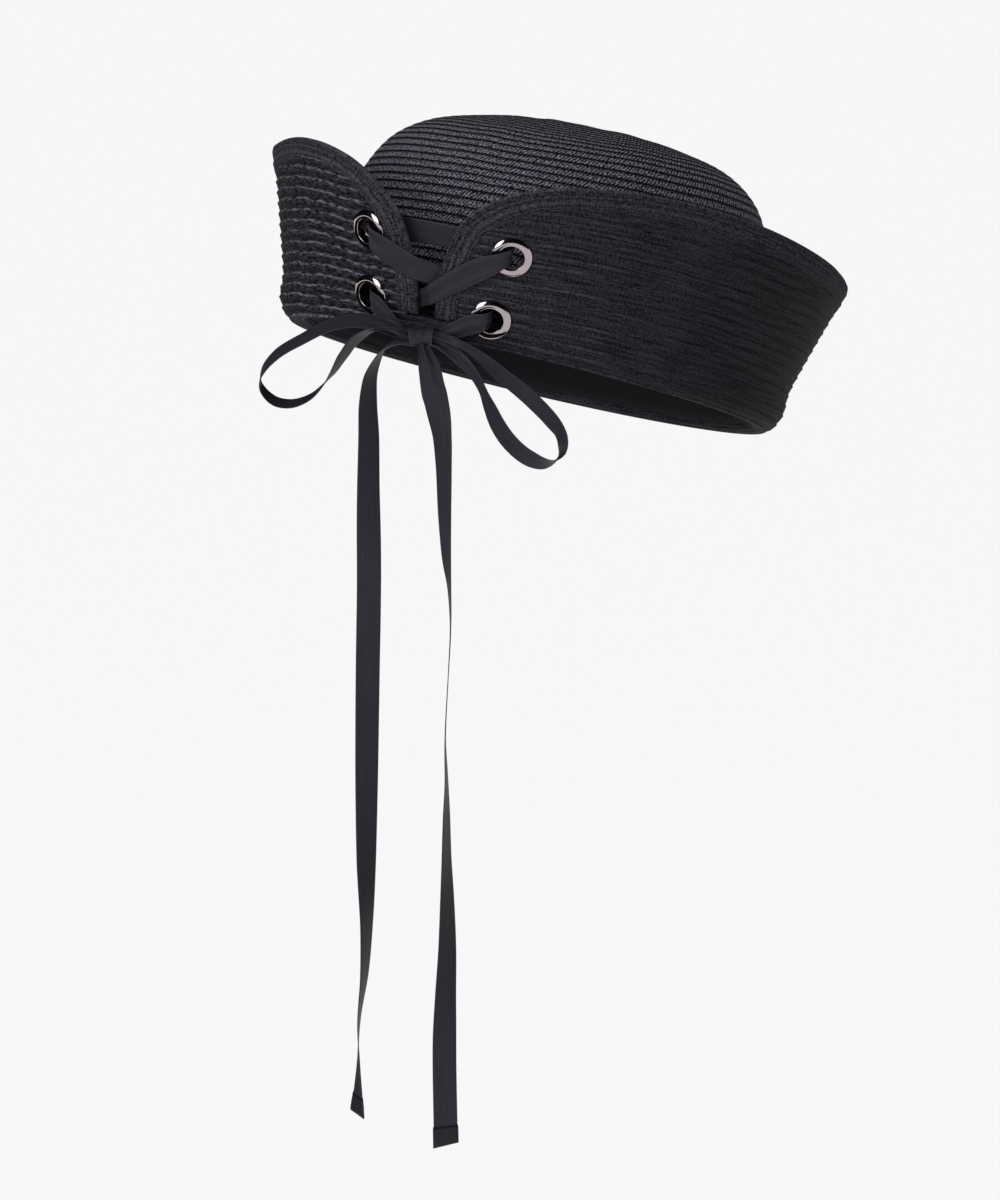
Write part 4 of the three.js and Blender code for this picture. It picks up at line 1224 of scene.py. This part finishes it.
class HAT_OT_stage(bpy.types.Operator):
    """Make the pale sweep, the soft studio light and the camera"""

    bl_idname = "hat.stage"
    bl_label = "Stage"

    def execute(self, context):
        stage = context.scene.hat_stage
        a, e = math.radians(VIEW_AZIMUTH), math.radians(VIEW_ELEVATION)
        toward = Vector((math.sin(a) * math.cos(e), -math.cos(a) * math.cos(e), math.sin(e)))
        right = Vector((math.cos(a), math.sin(a), 0))
        up = toward.cross(right)
        self.floor(stage)
        self.black_card(stage, right, toward)
        self.surround(context, stage, -0.8 * right + 0.6 * toward + 0.3 * up)
        self.soft_light("key_light", -0.8 * right + 0.85 * toward + 0.25 * up, 0.55, stage.key_power)
        self.soft_light("rim_light", 0.75 * right - 0.5 * toward + 0.6 * up, 0.7, stage.rim_power)
        camera = add_object("camera", bpy.data.cameras.new("camera"))
        camera.data.sensor_width = SENSOR
        camera.data.lens = FOCAL_PIXELS / IMAGE_SIZE[1] * SENSOR
        camera.data.clip_start, camera.data.clip_end = 0.05, 100
        camera.location = toward * VIEW_DISTANCE
        sideways = (IMAGE_SIZE[0] / 2 - ORIGIN_PIXEL[0]) / FOCAL_PIXELS
        upwards = (ORIGIN_PIXEL[1] - IMAGE_SIZE[1] / 2) / FOCAL_PIXELS
        aim = -toward + right * sideways + up * upwards
        camera.rotation_euler = aim.to_track_quat("-Z", "Y").to_euler()
        context.scene.camera = camera
        context.scene.view_settings.view_transform = "Standard"
        return {"FINISHED"}

    def sheet(self, name, corners, material):
        """Flat sheet of the stage. Mirrors see it, but it sends no soft light onto the hat."""
        mesh = bpy.data.meshes.new(name)
        mesh.from_pydata(corners, [], [(0, 1, 2, 3)])
        mesh.materials.append(material)
        sheet = add_object(name, mesh)
        sheet.visible_diffuse = False
        return sheet

    def floor(self, stage):
        """Pale seamless sweep, lit evenly from outside the view."""
        material, add = new_material("pale_sweep")
        shader = add("BsdfPrincipled", {
            "Base Color": linear("#2c2c2c"), "Roughness": 0.9,
            "Emission Color": linear("#ffffff"), "Emission Strength": stage.floor_glow})
        add("OutputMaterial", {"Surface": shader})
        half = 20
        corners = ((-half, -half), (half, -half), (half, half), (-half, half))
        self.sheet("floor", [(x, y, -stage.floor_drop) for x, y in corners], material)

    def black_card(self, stage, right, toward):
        """Black card on the floor at the left that only mirrors see, to keep the left-hand eyelets dark."""
        material, add = new_material("black_velvet")
        add("OutputMaterial", {"Surface": add("BsdfDiffuse", {"Color": linear("#050505")})})
        lift = Vector((0, 0, 0.01 - stage.floor_drop))
        ahead = Vector((toward.x, toward.y, 0)).normalized()
        corners = ((-0.3, -1.5), (-0.3, 1.8), (-4, 1.8), (-4, -1.5))
        card = self.sheet("black_card", [right * x + ahead * y + lift for x, y in corners], material)
        card.visible_camera = False
        card.visible_shadow = False

    def surround(self, context, stage, brightest):
        """Soft light from all round, brightest from one side. Mirrors see a dark room in its place."""
        world = bpy.data.worlds.new("studio")
        world.use_nodes = True
        world.node_tree.nodes.clear()
        add = partial(add_node, world.node_tree)
        ray = add("TexCoord").outputs["Generated"]
        facing = add("VectorMath", ray, brightest.normalized(), operation="DOT_PRODUCT").outputs[1]
        soft = add("MapRange", facing, -1.0, 1.0, stage.surround * 0.05, stage.surround * 1.95)
        seen = add("Math", 1.0, add("LightPath").outputs["Is Glossy Ray"], operation="SUBTRACT")
        strength = add("Math", soft, seen, operation="MULTIPLY")
        light = add("Background", {"Color": linear("#ffffff"), "Strength": strength})
        add("OutputWorld", {"Surface": light})
        context.scene.world = world

    def soft_light(self, name, place, size, power):
        """Square soft light at a place, aimed at the hat."""
        light = add_object(name, bpy.data.lights.new(name, "AREA"))
        light.data.shape = "SQUARE"
        light.data.size = size
        light.data.energy = power
        light.location = place
        light.rotation_euler = (Vector((0, 0, 0.04)) - place).to_track_quat("-Z", "Y").to_euler()


class HAT_PT_panel(bpy.types.Panel):
    """Sidebar list of the hat's pieces and sizes"""

    bl_idname = "HAT_PT_panel"
    bl_label = "Laced Sailor Hat"
    bl_space_type = "VIEW_3D"
    bl_region_type = "UI"
    bl_category = "Hat"

    def draw(self, context):
        for operator in OPERATORS:
            self.layout.operator(operator.bl_idname)
        for settings in (context.scene.hat_braid, context.scene.hat_ribbon, context.scene.hat_stage):
            for name in settings.__annotations__:
                self.layout.prop(settings, name)


GROUPS = {"hat_braid": HatBraidSettings, "hat_ribbon": HatRibbonSettings, "hat_stage": HatStageSettings}
OPERATORS = (HAT_OT_stage, HAT_OT_bow, HAT_OT_tails, HAT_OT_crown, HAT_OT_brim, HAT_OT_edge_braid,
             HAT_OT_sweatband, HAT_OT_eyelets, HAT_OT_lace)


def register():
    for name, group in GROUPS.items():
        bpy.utils.register_class(group)
        setattr(bpy.types.Scene, name, PointerProperty(type=group))
    for operator in (*OPERATORS, HAT_PT_panel):
        bpy.utils.register_class(operator)


def unregister():
    for operator in reversed((*OPERATORS, HAT_PT_panel)):
        bpy.utils.unregister_class(operator)
    for name, group in GROUPS.items():
        delattr(bpy.types.Scene, name)
        bpy.utils.unregister_class(group)


def main():
    register()
    bpy.ops.hat.stage()
    bpy.ops.hat.bow()
    bpy.ops.hat.tails()
    bpy.ops.hat.lace()
    bpy.ops.hat.crown()
    bpy.ops.hat.brim()
    bpy.ops.hat.edge_braid()
    bpy.ops.hat.sweatband()
    bpy.ops.hat.eyelets()


if __name__ == "__main__":
    main()
